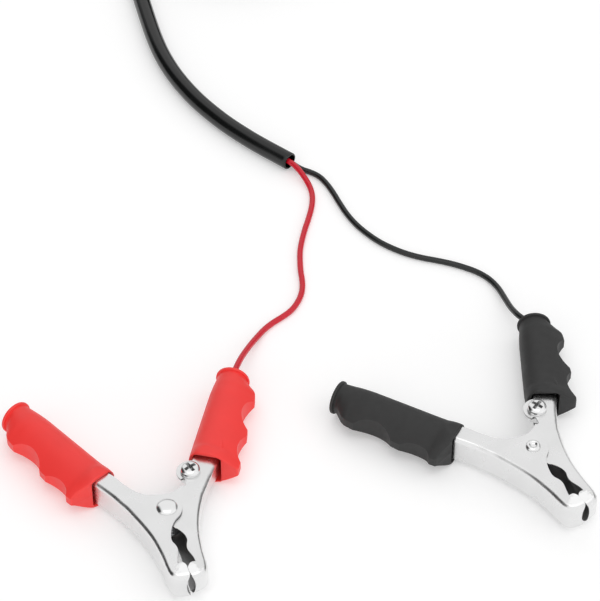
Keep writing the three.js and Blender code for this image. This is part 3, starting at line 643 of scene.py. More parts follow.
BODY_X, BODY_L = 25.3, 24.0
body = rounded_slab("connector_housing", [(BODY_X, -6), (BODY_X + 5, -9), (BODY_X + BODY_L, -9), (BODY_X + BODY_L, 9), (BODY_X + 5, 9), (BODY_X, 6)], 5.1, 1.5, 1.2)
tidy(body)
shroud = lathe("shroud", [(0, 0), (4.3, 0), (4.3, 11.7), (4.0, 12.0), (3.6, 12.0), (3.3, 11.7), (3.3, 1.2), (0, 1.2)], 48)
tidy(shroud)
lay_along_x(shroud, BODY_X + BODY_L - 1, 4.4)
boolean(body, shroud, "UNION")
for i in range(5):      # finger grooves across both faces
    for s in (-1, 1):
        g = rounded_slab("groove", [(-0.45, -6.6), (0.45, -6.6), (0.45, 6.6), (-0.45, 6.6)], 0.8, 0.3, 0.35, 3)
        co = np.zeros(len(g.data.vertices) * 3)
        g.data.vertices.foreach_get("co", co)
        co = co.reshape(-1, 3) + np.array([BODY_X + 8 + i * 2.3, 0, s * 5.35])
        g.data.vertices.foreach_set("co", co.ravel())
        tidy(g)
        boolean(body, g, "DIFFERENCE")
tidy(body, sharp=30)
bevel(body, 0.1, 2, 30)
on_plug(body)
place(body)
weigh(body)
done(body, "black_moulding", ROOT, ["connector_body"])

pin = lathe("contact_pin", fillet([(0, 0), (2.6, 0), (2.6, 1.0), (1.75, 1.3), (1.75, 10.2), (1.2, 11.2), (0, 11.5)], [0.1, 0.15, 0.1, 0.3, 0.3]), 48)
tidy(pin, sharp=40)
lay_along_x(pin, BODY_X + BODY_L + 0.3, -4.4)
on_plug(pin)
place(pin)
done(pin, "contact_brass", ROOT, ["connector_pin"])
sock = lathe("contact_socket", [(0, 0), (2.9, 0), (2.9, 9.8), (2.7, 10.0), (2.15, 10.0), (1.95, 9.8), (1.95, 1.2), (0, 1.2)], 48)
tidy(sock, sharp=40)
lay_along_x(sock, BODY_X + BODY_L + 0.3, 4.4)
on_plug(sock)
place(sock)
done(sock, "contact_brass", ROOT, ["connector_socket"])

# strap round the coil
def hull_loop(grow, n=120):
    centres = [(51.35, 5.15), (43.45, 5.15), (47.4, 12.05)]
    pts = []
    for i in range(n):
        a = 2 * math.pi * i / n
        d = np.array([math.cos(a), math.sin(a)])
        best = max(centres, key=lambda c: c[0] * d[0] + c[1] * d[1])
        pts.append(np.array(best) + d * (3.95 + grow))
    return spline(pts + [pts[0]], 0.6)[:-1]


def strap():
    inner = hull_loop(0.12)
    outer = hull_loop(1.02)
    m = 200
    def even(c):
        c = np.vstack([c, c[:1]])
        d = np.concatenate([[0], np.cumsum(np.linalg.norm(np.diff(c, axis=0), axis=1))])
        u = np.linspace(0, d[-1], m + 1)[:-1]
        return np.stack([np.interp(u, d, c[:, 0]), np.interp(u, d, c[:, 1])], 1)
    inner, outer = even(inner), even(outer)
    # the overlapping tongue is a second layer over part of the way
    lift = np.array([0.75 * smoothstep((i - 30) / 2.5) * smoothstep((78 - i) / 1.2) for i in range(m)])
    nrm = outer - inner
    nrm /= np.linalg.norm(nrm, axis=1)[:, None]
    outer = outer + nrm * lift[:, None]
    half = 4.5
    rings = []
    sect = [(0, -half), (1, -half), (1, half), (0, half)]
    verts, faces = [], []
    for i in range(m):
        a, b = inner[i], outer[i]
        e = (b - a) / np.linalg.norm(b - a) * 0.22
        for q, yy in ((a, -half + 0.2), (a + e, -half), (b - e, -half), (b, -half + 0.25), (b, half - 0.25), (b - e, half), (a + e, half), (a, half - 0.2)):
            verts.append((q[0], yy, q[1]))
    for i in range(m):
        j = (i + 1) % m
        for k in range(8):
            l = (k + 1) % 8
            faces.append((8 * i + k, 8 * i + l, 8 * j + l, 8 * j + k))
    o = new_object("coil_strap", verts, faces)
    tidy(o, sharp=50)
    t = math.radians(52)
    co = np.zeros(len(o.data.vertices) * 3)
    o.data.vertices.foreach_get("co", co)
    co = co.reshape(-1, 3)
    x, y = co[:, 0].copy(), co[:, 1].copy()
    co[:, 0] = COIL_AT[0] + x * math.cos(t) - y * math.sin(t)
    co[:, 1] = COIL_AT[1] + x * math.sin(t) + y * math.cos(t)
    co[:, 2] = np.maximum(co[:, 2], 0.03)
    o.data.vertices.foreach_set("co", co.ravel())
    place(o)
    return done(o, "black_moulding", ROOT, ["coil_tie"], STRAP)


tie = strap()


# ------------------------------------------------------------------ levers
def along(side, s, w):
    ux, uy = math.sin(HANDLE) * side, math.cos(HANDLE)
    nx, ny = math.cos(HANDLE) * side, -math.sin(HANDLE)
    return (s * ux + w * nx, s * uy + w * ny)


def paired_spline(a, b, n):
    """Two polylines with the same points count, sampled at the same parameters."""
    ab = np.hstack([np.array(a, float), np.array(b, float)])
    p = ab
    first, last = 2 * p[0] - p[1], 2 * p[-1] - p[-2]
    q = np.vstack([first, p, last])
    out = []
    for i in range(1, len(q) - 2):
        p0, p1, p2, p3 = q[i - 1], q[i], q[i + 1], q[i + 2]
        k0 = lambda u, v: max(np.linalg.norm(u[2:] - v[2:]), 1e-9) ** 0.5
        t0 = 0.0
        t1 = t0 + k0(p1, p0)
        t2 = t1 + k0(p2, p1)
        t3 = t2 + k0(p3, p2)
        for k in range(n):
            t = t1 + (t2 - t1) * k / n
            a1 = (t1 - t) / (t1 - t0) * p0 + (t - t0) / (t1 - t0) * p1
            a2 = (t2 - t) / (t2 - t1) * p1 + (t - t1) / (t2 - t1) * p2
            a3 = (t3 - t) / (t3 - t2) * p2 + (t - t2) / (t3 - t2) * p3
            b1 = (t2 - t) / (t2 - t0) * a1 + (t - t0) / (t2 - t0) * a2
            b2 = (t3 - t) / (t3 - t1) * a2 + (t - t1) / (t3 - t1) * a3
            out.append((t2 - t) / (t2 - t1) * b1 + (t - t1) / (t2 - t1) * b2)
    out.append(p[-1])
    c = np.array(out)
    return c[:, :2], c[:, 2:]


def clip_plan(polys, keep):
    """Boolean of plan outlines: the outline of the regions whose set of covering outlines passes keep."""
    verts, faces = [], []
    for p in polys:
        faces.append(list(range(len(verts), len(verts) + len(p))))
        verts += [Vector((float(x), float(y))) for x, y in p]
    v, e, f, ov, oe, of = delaunay_2d_cdt(verts, [], faces, 0, 1e-5)
    edges = {}
    for tri, src in zip(f, of):
        if not keep(set(src)):
            continue
        for i in range(len(tri)):
            a, b = tri[i], tri[(i + 1) % len(tri)]
            if (b, a) in edges:
                del edges[(b, a)]
            else:
                edges[(a, b)] = True
    nxt = {a: b for a, b in edges}
    loops, seen = [], set()
    for a in list(nxt):
        if a in seen:
            continue
        loop = []
        while a not in seen and a in nxt:
            seen.add(a)
            loop.append((v[a].x, v[a].y))
            a = nxt[a]
        loops.append(loop)
    return max(loops, key=len)


def ring_plan(x, y, r, n=48):
    return [(x + r * math.cos(2 * math.pi * i / n), y + r * math.sin(2 * math.pi * i / n)) for i in range(n)]


def lever(name, wire):
    half = WIRE_HALF if wire else FREE_HALF
    base = [along(-1, 64, 9.5), along(-1, 57, 9.65), along(-1, 50, 9.9), along(-1, 40, 10.6)] + WALL
    flare = [0.9, 1.0, 1.1, 1.55] + FLARE
    if wire:
        outer = [(x - 0.9 * f, y - 0.4 * f) for (x, y), f in zip(base, flare)]
    else:
        outer = base
    W, U = paired_spline(outer, base, 6)
    tan = np.gradient(U, axis=0)
    tan[-1] = (1, 0)
    tan /= np.linalg.norm(tan, axis=1)[:, None]
    inward = np.stack([-tan[:, 1], tan[:, 0]], 1)       # travelling towards the tip, the inside is on the left
    C = U + inward * BEND
    C[-1] = (-0.15, -35.9 + BEND)
    bz = 2.1 + (0.0 if not wire else 0.4)
    rows = []
    nb = 7
    for k in range(nb + 1):
        a = math.pi / 2 * k / nb
        rows.append((math.sin(a), half - bz * (1 - math.cos(a))))
    flat = np.linspace(half - bz, -(half - bz), 9)[1:-1]
    rows += [(1.0, z) for z in flat] + [(k, -z) for k, z in rows[::-1]]
    n, m = len(W), len(rows)
    verts, faces = [], []
    for i in range(n):
        for k, z in rows:
            q = C[i] + (W[i] - C[i]) * k if k < 1 else W[i]
            x, y = q
            # the lens-shaped gap between the tips
            lens = 1.6 * max(0.0, 1 - (z / 6.2) ** 2)
            if x > -4.6 and y < -33.0 and lens:
                x = -4.6 + (x + 4.6) * (4.45 - lens) / 4.45
            verts.append((x, y, z))
    for i in range(n - 1):
        for k in range(m - 1):
            a, b = i * m + k, (i + 1) * m + k
            faces.append((a, a + 1, b + 1, b))
    inner = []
    wider = (lambda q: float(np.interp(q[1], [-30.7, -28.5, -26, -15, -12, -9.4], [0, 0.6, 1.0, 1.1, 0.8, 0]))) if wire else (lambda q: 0.0)
    for part in [[(q[0] - wider(q) * (i < 3), q[1]) for q in sec] for i, sec in enumerate(SLOT)]:
        inner += [tuple(p) for p in spline(part, 0.45)][1:] if inner else [tuple(p) for p in spline(part, 0.45)][1:]
    tail = [tuple(p) for p in spline([along(-1, 34, 4.6), along(-1, 50, 5.2), along(-1, 64, 5.8)], 3.0)]
    plan = [tuple(p) for p in C] + inner + tail
    def cheek(points, z):
        start = len(verts)
        verts.extend((x, y, z) for x, y in points)
        idx = list(range(start, start + len(points)))
        faces.append(idx)
    if wire:
        tx, ty = -SCREW_AT[0], SCREW_AT[1]
        t = -0.2
        bx = [(-9.7 + dx * math.cos(-t) - dy * math.sin(-t), 11.7 + dx * math.sin(-t) + dy * math.cos(-t)) for dx, dy in ((-0.9, -1.1), (0.9, -1.1), (0.9, 1.1), (-0.9, 1.1))]
        polys = [plan, ring_plan(tx, ty, 5.6, 64), ring_plan(-9.45, 10.6, 0.9, 20), ring_plan(-9.95, 12.8, 0.9, 20), bx]
        top = clip_plan(polys, lambda s: (0 in s or 1 in s) and not (2 in s or 3 in s or 4 in s))
        cheek(top, half)
    else:
        cheek(plan, half)
    # the lower cheek's slot is narrower
    cheek([(-0.15 + (x + 0.15) * 0.22, y) if y < -9.4 and -4.2 < x < -0.15 and y > -30.7 else (x, y) for x, y in plan], -half)
    o = new_object(name, verts, faces)
    bm = bmesh.new()
    bm.from_mesh(o.data)
    bmesh.ops.remove_doubles(bm, verts=bm.verts, dist=2e-3)
    bmesh.ops.dissolve_degenerate(bm, dist=1e-4, edges=bm.edges)
    bmesh.ops.recalc_face_normals(bm, faces=bm.faces)
    big = max(bm.faces, key=lambda f: (f.calc_center_median().z > half - 0.01) * f.calc_area())
    if big.normal.z < 0:
        bmesh.ops.reverse_faces(bm, faces=bm.faces)
    bm.to_mesh(o.data)
    bm.free()
    s = o.modifiers.new("thick", "SOLIDIFY")
    s.thickness = SHEET
    s.offset = -1
    s.use_even_offset = True
    s.use_rim = True
    o.data.materials.append(None)
    o.data.materials.append(None)
    s.material_offset = 1
    s.material_offset_rim = 1
    bake(o)
    bm = bmesh.new()
    bm.from_mesh(o.data)
    bmesh.ops.recalc_face_normals(bm, faces=bm.faces)
    if wire:
        for v in bm.verts:
            v.co.x = -v.co.x
        bmesh.ops.reverse_faces(bm, faces=bm.faces)
    for v in bm.verts:
        v.co.z += ZC
    mark(bm, 35)
    bm.to_mesh(o.data)
    bm.free()
    bevel(o, 0.13, 2, 50)
    weigh(o)
    return o


# ------------------------------------------------------------------ grips
SCOOPS = [(41.6, 29.5, 11.5), (60.6, 26.2, 10.7)]     # centre along the handle, centre outward, radius


def interp(table, s):
    xs, ys = zip(*table)
    if s <= xs[0]:
        return ys[0]
    if s >= xs[-1]:
        return ys[-1]
    # monotone cubic
    h = np.diff(xs)
    d = np.diff(ys) / h
    m = np.zeros(len(xs))
    m[0], m[-1] = d[0], d[-1]
    for i in range(1, len(xs) - 1):
        m[i] = 0.0 if d[i - 1] * d[i] <= 0 else 2 / (1 / d[i - 1] + 1 / d[i])
    i = int(np.searchsorted(xs, s)) - 1
    i = min(max(i, 0), len(h) - 1)
    t = (s - xs[i]) / h[i]
    return ((2 * t ** 3 - 3 * t ** 2 + 1) * ys[i] + (t ** 3 - 2 * t ** 2 + t) * h[i] * m[i]
            + (-2 * t ** 3 + 3 * t ** 2) * ys[i + 1] + (t ** 3 - t ** 2) * h[i] * m[i + 1])


CAP_AT = [(29.7, 8.25), (30.2, 8.4), (79.0, 8.4)]
HALF_AT = [(29.7, 8.8), (31.4, 8.9), (33.5, 8.6), (37, 7.75), (42, 7.65), (66.0, 7.65), (72, 7.3), (76, 6.7), (79.4, 6.3)]
IN_AT = [(29.7, 0.4), (33, 0.3), (38, -0.1), (66, 0.0), (72, 0.25), (76, 0.55), (79.4, 0.75)]
FLAT_AT = [(29.7, 20.4), (30.6, 20.9), (34.5, 20.9), (48.4, 20.1), (52.6, 19.6), (68.6, 18.8), (72.0, 18.3), (74.1, 17.3), (75.5, 15.9), (77.0, 14.5), (78.3, 13.6), (79.4, 13.36)]
OUT_AT = [(29.7, 23.3), (34.5, 23.5), (48.4, 22.7), (52.6, 22.2), (68.6, 21.4), (72.0, 20.6), (74.1, 18.8), (75.5, 16.7), (77.0, 14.8), (78.3, 13.65), (79.4, 13.36)]
ROUND_AT = [(29.7, 6.6), (38, 7.4), (66, 7.4), (72, 7.0), (79.4, 6.3)]
# outer side of the section: z = half height * (1 - u ** p) ** q
P_AT = [(29.7, 1.8), (70, 1.8), (77, 2.0), (79.4, 2.0)]
Q_AT = [(29.7, 1.15), (70, 1.15), (74, 0.9), (77, 0.5), (79.4, 0.5)]
N_IN, N_OUT, N_CUT = 14, 26, 8


def scoop_limit(s, deeper):
    best = 1e9
    for sc, wc, r in SCOOPS:
        sc, wc = sc + deeper[0], wc + deeper[1]
        if abs(s - sc) < r:
            best = min(best, wc - math.sqrt(r ** 2 - (s - sc) ** 2))
    return best


def along_line(pts, n):
    p = np.array(pts, float)
    d = np.concatenate([[0], np.cumsum(np.linalg.norm(np.diff(p, axis=0), axis=1))])
    u = np.linspace(0, d[-1], n)
    return np.stack([np.interp(u, d, p[:, k]) for k in range(2)], 1)


def grip_section(s, deeper):
    """Upper half of the section as (w, z), from the inner middle over the top to the outer middle."""
    H, wi, wo, rho = interp(HALF_AT, s), interp(IN_AT, s), interp(OUT_AT, s), interp(ROUND_AT, s)
    p, q = interp(P_AT, s), interp(Q_AT, s)
    rho = min(rho, H - 1e-3, NECK_W - wi)
    a = [(wi, 0.0), (wi, H - rho)] + [(wi + rho * (1 - math.cos(t)), H - rho + rho * math.sin(t)) for t in np.linspace(0, math.pi / 2, 14)[1:]] + [(NECK_W, H)]
    cap = interp(CAP_AT, s)
    inner = along_line([(w, min(z, cap)) for w, z in a], N_IN)
    cut = min(scoop_limit(s, deeper), interp(FLAT_AT, s))
    top = math.asin(max(0.0, min(1.0, (cut - NECK_W) / (wo - NECK_W))))
    b = [(NECK_W + (wo - NECK_W) * math.sin(t), H * max(0.0, 1 - math.sin(t) ** p) ** q) for t in np.linspace(0, top, 60)]
    outer = along_line([(w, min(z, cap)) for w, z in b], N_OUT + 1)[1:]
    corner = outer[-1]
    face = np.stack([np.full(N_CUT, corner[0]), np.linspace(corner[1], 0.0, N_CUT + 1)[1:]], 1)
    return np.vstack([inner, outer, face])


def offset_section(sec, d):
    """Moves an upper half section inwards by d; its two ends stay on the middle plane."""
    full = np.vstack([sec, sec[::-1][1:-1] * [1, -1]])
    keep = [0]
    nxt, prv = np.roll(full, -1, 0), np.roll(full, 1, 0)
    t = nxt - prv
    ln = np.linalg.norm(t, axis=1)
    ln[ln < 1e-9] = 1
    t = t / ln[:, None]
    nrm = np.stack([t[:, 1], -t[:, 0]], 1)
    # the contour runs up the inner side and over the top, so this normal points inwards
    moved = full + nrm * d
    out = moved[:len(sec)].copy()
    out[0, 1] = 0
    out[-1, 1] = 0
    for k in range(len(sec) - N_CUT, len(sec)):
        if np.linalg.norm(sec[k] - sec[-1]) < 1e-6:
            out[k] = out[-1]
    return out


def cavity_section(s, grow=0.0, tight=0.0):
    wi = interp([(29, 2.3), (31, 2.3), (38, 3.2), (70, 3.2)], s) - grow
    lip = [(29, 12.0), (31, 12.1), (34, 12.5)] if tight else [(29, 13.65), (31, 13.75), (35, 13.7)]
    wo = interp(lip + [(44, 11.9 - tight * 0.4), (69, 11.1)], s) + grow
    h, c = 6.85 + grow, 1.2
    mid = NECK_W
    a = along_line([(wi, 0), (wi, h - c)] + [(wi + c * (1 - math.cos(t)), h - c + c * math.sin(t)) for t in np.linspace(0, math.pi / 2, 6)[1:]] + [(mid, h)], N_IN)
    b = along_line([(mid, h), (wo - c, h)] + [(wo - c + c * math.sin(t), h - c + c * math.cos(t)) for t in np.linspace(0, math.pi / 2, 6)[1:]] + [(wo, 0)], N_OUT + 1)[1:]
    return np.vstack([a, b, np.tile(b[-1], (N_CUT, 1))])


def circle_section(r):
    a = [(NECK_W - r * math.cos(t), r * math.sin(t)) for t in np.linspace(0, math.pi / 2, 30)]
    b = [(NECK_W + r * math.sin(t), r * math.cos(t)) for t in np.linspace(0, math.pi / 2, 30)]
    sec = np.vstack([along_line(a, N_IN), along_line(b, N_OUT + 1)[1:]])
    return np.vstack([sec, np.tile(sec[-1], (N_CUT, 1))])


def grip(name, side, spot, deeper):
    tight = 1.6 if side < 0 else 0.0        # the free lever is narrower at the mouth
    rows = []       # (s, upper half section)
    for s in (62.0, 55.0, 48.0, 42.0, 38.0, 35.0, 32.5, 30.8, 30.05):
        rows.append((s, cavity_section(s, 0.0, tight)))
    rows.append((29.8, cavity_section(29.7, 0.08, tight)))
    rows.append((29.7, cavity_section(29.7, 0.35, tight)))
    rim = grip_section(29.75, deeper)
    for s, d in ((29.7, 0.55), (29.72, 0.38), (29.8, 0.18), (29.95, 0.05)):
        rows.append((s, offset_section(rim, d)))
    stops = [30.15]
    for sc, wc, r in SCOOPS:
        sc, wc = sc + deeper[0], wc + deeper[1]
        # where the scoop's cylinder meets the flat outermost face
        lo, hi = sc - r + 1e-4, sc
        f = lambda q: (wc - math.sqrt(max(0.0, r ** 2 - (q - sc) ** 2))) - interp(FLAT_AT, q)
        for _ in range(50):
            mid = (lo + hi) / 2
            if f(mid) > 0:
                lo = mid
            else:
                hi = mid
        s0 = lo
        lo, hi = sc, sc + r - 1e-4
        for _ in range(50):
            mid = (lo + hi) / 2
            if f(mid) > 0:
                hi = mid
            else:
                lo = mid
        stops += [s0, hi]
    stops.append(79.35)
    ss = []
    for a, b in zip(stops, stops[1:]):
        inside = scoop_limit((a + b) / 2, deeper) < interp(FLAT_AT, (a + b) / 2)
        n = 30 if inside else max(5, int((b - a) / 0.55))
        for k in range(n):
            u = k / n
            if inside:
                u = 0.5 * (1 - math.cos(math.pi * u))
            ss.append(a + (b - a) * u)
    ss.append(79.35)
    for s in ss:
        rows.append((s, grip_section(s, deeper)))
    for s, r in ((79.42, 6.38), (79.48, 6.75), (79.6, 6.98), (79.85, 7.1), (80.4, 7.1), (80.62, 7.02), (80.76, 6.82), (80.8, 6.55), (80.8, 4.95), (80.74, 4.72), (80.6, 4.6), (76.0, 4.6), (70.5, 4.6)):
        rows.append((s, circle_section(r)))
    M = len(rows[0][1])
    verts, faces = [], []
    back = 2.8 if side < 0 else 0.0         # the free grips' mouths run back on their outer side
    for s, sec in rows:
        loop = [(w, z) for w, z in sec] + [(w, -z) for w, z in sec[::-1][1:-1]]
        ds, dw, tilt, stretch = spot
        t = math.radians(tilt)
        for w, z in loop:
            cut = back * smoothstep((w - 11.5) / 8.5) * (1 - smoothstep((s - 29.7) / 9.0))
            x, y = (s + cut - 30) * stretch, w - 8
            S, Wd = x * math.cos(t) - y * math.sin(t) + 30 + ds, x * math.sin(t) + y * math.cos(t) + 8 + dw
            px, py = along(side, S, Wd)
            verts.append((px, py, z + ZC))
    n = 2 * M - 2
    for k in range(len(rows) - 1):
        for i in range(n):
            j = (i + 1) % n
            faces.append((k * n + i, k * n + j, (k + 1) * n + j, (k + 1) * n + i))
    faces.append(tuple(range(n - 1, -1, -1)))
    faces.append(tuple((len(rows) - 1) * n + i for i in range(n)))
    o = new_object(name, verts, faces)
    tidy(o, merge=2e-3, sharp=32)
    return o


# ------------------------------------------------------------------ hardware
def rivet(name, dome_up):
    z = FREE_HALF + 0.02
    head = [(4.2, z), (4.22, z + 0.12), (4.12, z + 0.36), (3.8, z + 0.66), (3.2, z + 0.98), (2.4, z + 1.25), (1.4, z + 1.44), (0.6, z + 1.52), (0, z + 1.53)]
    clinch = [(0, -z - 0.35), (0.5, -z - 0.36), (1.0, -z - 0.48), (1.35, -z - 0.75), (1.6, -z - 1.0), (1.85, -z - 1.12), (2.15, -z - 1.12), (2.5, -z - 1.0),
              (2.8, -z - 0.75), (2.98, -z - 0.42), (3.02, -z - 0.12), (3.0, -z), (2.0, -z)]
    o = lathe(name, clinch + [(2.0, z)] + head, 64)
    tidy(o, sharp=50)
    co = np.zeros(len(o.data.vertices) * 3)
    o.data.vertices.foreach_get("co", co)
    co = co.reshape(-1, 3)
    if not dome_up:
        co[:, 1] *= -1
        co[:, 2] *= -1
    co[:, 2] += ZC
    o.data.vertices.foreach_set("co", co.ravel())
    return o


def screw(name):
    z0 = WIRE_HALF + 0.02
    z1 = z0 + 2.75
    prof = [(0, 0.2), (1.7, 0.2), (2.0, 0.6), (2.0, z0), (3.85, z0), (3.98, z0 + 0.12), (4.02, z0 + 0.4), (4.0, z0 + 1.0), (3.9, z0 + 1.45), (3.65, z0 + 1.9),
            (3.25, z0 + 2.25), (2.6, z0 + 2.52), (1.7, z0 + 2.69), (0.8, z1 - 0.01), (0, z1)]
    o = lathe(name, prof, 64)
    tidy(o, sharp=50)
    # tapered cross recess
    arms = []
    for zz, L, w in ((z1 + 0.3, 2.75, 0.78), (z1 - 0.25, 2.5, 0.68), (z1 - 2.0, 1.4, 0.42)):
        a = [(L, w), (w, w), (w, L), (-w, L), (-w, w), (-L, w), (-L, -w), (-w, -w), (-w, -L), (w, -L), (w, -w), (L, -w)]
        arms.append(np.array([(x * math.cos(0.35) - y * math.sin(0.35), x * math.sin(0.35) + y * math.cos(0.35), zz) for x, y in a]))
    cutter = skin("recess", arms[::-1])
    tidy(cutter)
    boolean(o, cutter, "DIFFERENCE")
    tidy(o, merge=1e-4, sharp=35)
    co = np.zeros(len(o.data.vertices) * 3)
    o.data.vertices.foreach_get("co", co)
    co = co.reshape(-1, 3) + np.array([SCREW_AT[0], SCREW_AT[1], ZC])
    o.data.vertices.foreach_set("co", co.ravel())
    bevel(o, 0.05, 2, 40)
    return o


def paint_recess_shade(o, clamp):
    """Painted shade: darker, rougher metal inside the cross recess of a screw that has been placed."""
    c = CLAMPS[clamp]
    t = math.radians(c["turn"])
    ax = c["pivot"][0] + SCREW_AT[0] * math.cos(t) - SCREW_AT[1] * math.sin(t) + SHIFT[0]
    ay = c["pivot"][1] + SCREW_AT[0] * math.sin(t) + SCREW_AT[1] * math.cos(t) + SHIFT[1]
    o.data.materials.append(RECESS_SHADE)
    for f in o.data.polygons:
        x, y, z = (v * 1e3 for v in f.center)
        r = math.hypot(x - ax, y - ay)
        top = np.interp(r, [0, 0.8, 1.7, 2.6, 3.25, 3.65, 3.9], [2.75, 2.74, 2.69, 2.52, 2.25, 1.9, 1.45])
        depth = ZC + WIRE_HALF + 0.02 + top - z
        if r < 3.0 and 0.14 < depth < 2.5:
            f.material_index = 1


def nut(name):
    r = 3.5 / math.cos(math.pi / 6)
    plan = [(SCREW_AT[0] + r * math.cos(2 * math.pi * i / 6 + 0.2), SCREW_AT[1] + r * math.sin(2 * math.pi * i / 6 + 0.2)) for i in range(6)]
    rings = [np.array([(SCREW_AT[0] + (x - SCREW_AT[0]) * k, SCREW_AT[1] + (y - SCREW_AT[1]) * k, z + ZC) for x, y in plan]) for k, z in ((0.93, 0.6), (1, 0.85), (1, 2.95), (0.93, 3.2))]
    o = skin(name, rings)
    tidy(o, sharp=15)
    bevel(o, 0.1, 2, 15)
    weigh(o)
    return o


def spring(name):
    R, hz = 6.4, 2.8
    a0 = -38.5
    a1 = a0 - 360 * 3 + 360 - 103 - 360
    at = lambda deg, z: (R * math.cos(math.radians(deg)), R * math.sin(math.radians(deg)), z)
    start, end = at(a0, -hz), at(a1, hz)
    pts = []
    for i in range(8):
        k = 1 - i / 8
        pts.append((start[0] + (16.9 - start[0]) * k, start[1] + (11.0 - start[1]) * k, -hz))
    for i in range(161):
        pts.append(at(a0 + (a1 - a0) * i / 160, -hz + 2 * hz * i / 160))
    for i in range(1, 9):
        k = i / 8
        pts.append((end[0] + (-16.9 - end[0]) * k, end[1] + (11.0 - end[1]) * k, hz))
    line = spline(pts, 0.5)
    line[:, 2] += ZC
    rings, _ = sweep(line, 0.8, 14)
    o = skin(name, rings)
    tidy(o, sharp=60)
    return o


def lug(name):
    """Ring terminal with its crimped barrel."""
    s0, s1, w, r, z = 27.5, 33.5, 5.6, 1.7, 2.5
    sa = SCREW_AT[0] * math.sin(HANDLE) + SCREW_AT[1] * math.cos(HANDLE)
    wa = SCREW_AT[0] * math.cos(HANDLE) - SCREW_AT[1] * math.sin(HANDLE)
    ringp = ring_plan(SCREW_AT[0], SCREW_AT[1], 3.6, 48)
    neck = [along(1, a, b) for a, b in ((sa + 1, wa - 1.5), (s0 + 1.2, w - 1.3), (s0 + 1.2, w + 1.3), (sa + 1, wa + 1.7))]
    out = clip_plan([ringp, neck], lambda s: 0 in s or 1 in s)
    rings = [np.array([(x, y, zz + ZC) for x, y in out]) for zz in (3.5, 4.3)]
    o = skin(name, rings)
    tidy(o, sharp=30)
    ax = np.array([math.sin(HANDLE), math.cos(HANDLE), 0.0])
    p0 = np.array([*along(1, s0, w), z + ZC])
    line = [p0 + ax * k for k in np.linspace(0, s1 - s0, 13)]
    radii = [1.7 - 0.28 * math.exp(-((k - 0.33) / 0.1) ** 2) - 0.28 * math.exp(-((k - 0.7) / 0.1) ** 2) for k in np.linspace(0, 1, 13)]
    rr, _ = sweep(line, 1.7, 24, radii)
    b = skin("barrel", rr)
    tidy(b, sharp=50)
    boolean(o, b, "UNION")
    tidy(o, merge=1e-4, sharp=35)
    bevel(o, 0.06, 2, 40)
    return o


def on_grip(side, spot, s, w):
    ds, dw, tilt, stretch = spot
    t = math.radians(tilt)
    x, y = (s - 30) * stretch, w - 8
    return along(side, x * math.cos(t) - y * math.sin(t) + 30 + ds, x * math.sin(t) + y * math.cos(t) + 8 + dw)


def tail(name, spot, end_w):
    s1, w, z = 33.5, 5.6, 2.5
    c, d, e = on_grip(1, spot, 70, (end_w + 7) / 2), on_grip(1, spot, FLANGE_END - 6, end_w * 0.7 + 7 * 0.3), on_grip(1, spot, FLANGE_END - 0.2, end_w)
    pts = [(*along(1, s1 - 0.8, w), z), (*along(1, 40, w + 0.2), z - 0.1), (*along(1, 56, 6.4), 1.2), (*c, 0.2), (*d, 0), (*e, 0)]
    line = spline(pts, 1.0)
    line[:, 2] += ZC
    rings, _ = sweep(line, LEAD_R, 20)
    o = skin(name, rings)
    tidy(o, sharp=60)
    return o


for c, info in CLAMPS.items():
    arm = f"{c}_free_arm"
    hue = f"{c}_grip"
    for o, slot_, body_, nodes in (
        (lever(f"{c}_wire_arm_steel", True), "plated_steel", ROOT, [f"{c}_wire_lever"]),
        (lever(f"{c}_free_arm_steel", False), "plated_steel", arm, [f"{c}_free_lever"]),
        (grip(f"{c}_wire_arm_grip", 1, info["wire"], (0, 0) if c == "red" else (-0.9, -0.4)), hue, ROOT, [f"{c}_wire_grip"]),
        (grip(f"{c}_free_arm_grip", -1, info["free"], (0, 0)), hue, arm, [f"{c}_free_grip"]),
        (rivet(f"{c}_rivet", info["dome_up"]), "bright_hardware", ROOT, [f"{c}_pivot_rivet"]),
        (screw(f"{c}_screw"), "bright_hardware", ROOT, [f"{c}_terminal_screw"]),
        (nut(f"{c}_nut"), "bright_hardware", ROOT, [f"{c}_screw_nut"]),
        (lug(f"{c}_ring_terminal"), "tinned_copper", ROOT, [f"{c}_wire_lug"]),
        (tail(f"{c}_core_end", info["wire"], NECK_W if c == "red" else 4.15), f"{c}_insulation", ROOT, [f"{c}_lead_tail"]),
    ):
        place(o, c)
        steel = slot_ == "plated_steel"
        inside = [f.index for f in o.data.polygons if f.material_index == 1] if steel else []
        done(o, slot_, body_, nodes, JAW_STEEL[c] if steel else None)
        # painted shade: the levers' inner faces and cut rims (solidify slot 1) take the darker sheet-inside steel
        if inside:
            o.data.materials.append(SHEET_INSIDE_SHADE)
            for k in inside:
                o.data.polygons[k].material_index = 1
        if nodes[0].endswith("terminal_screw"):
            paint_recess_shade(o, c)
    s = spring(f"{c}_spring")
    place(s, c)
    s.data.materials.append(MAT["spring_steel"])
    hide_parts(f"{c}_torsion_spring")
    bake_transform(s)

# ------------------------------------------------------------------ stage and light
def floor():
    me = bpy.data.meshes.new("floor")
    s = 6.0
    me.from_pydata([(-s, -s, 0), (s, -s, 0), (s, s, 0), (-s, s, 0)], [], [(0, 1, 2, 3)])
    o = bpy.data.objects.new("floor", me)
    bpy.context.scene.collection.objects.link(o)
    m = bpy.data.materials.new("pale_floor")
    m.use_nodes = True
    b = m.node_tree.nodes["Principled BSDF"]
    b.inputs["Base Color"].default_value = (0.80, 0.80, 0.80, 1)
    b.inputs["Roughness"].default_value = 0.9
    b.inputs["Specular IOR Level"].default_value = 0.1
    b.inputs["Emission Color"].default_value = (1, 1, 1, 1)
    b.inputs["Emission Strength"].default_value = 0.28
    me.materials.append(m)


floor()
world = bpy.data.worlds.new("studio")
bpy.context.scene.world = world
world.use_nodes = True
wt = world.node_tree
bg = wt.nodes["Background"]
bg.inputs["Strength"].default_value = 1.0
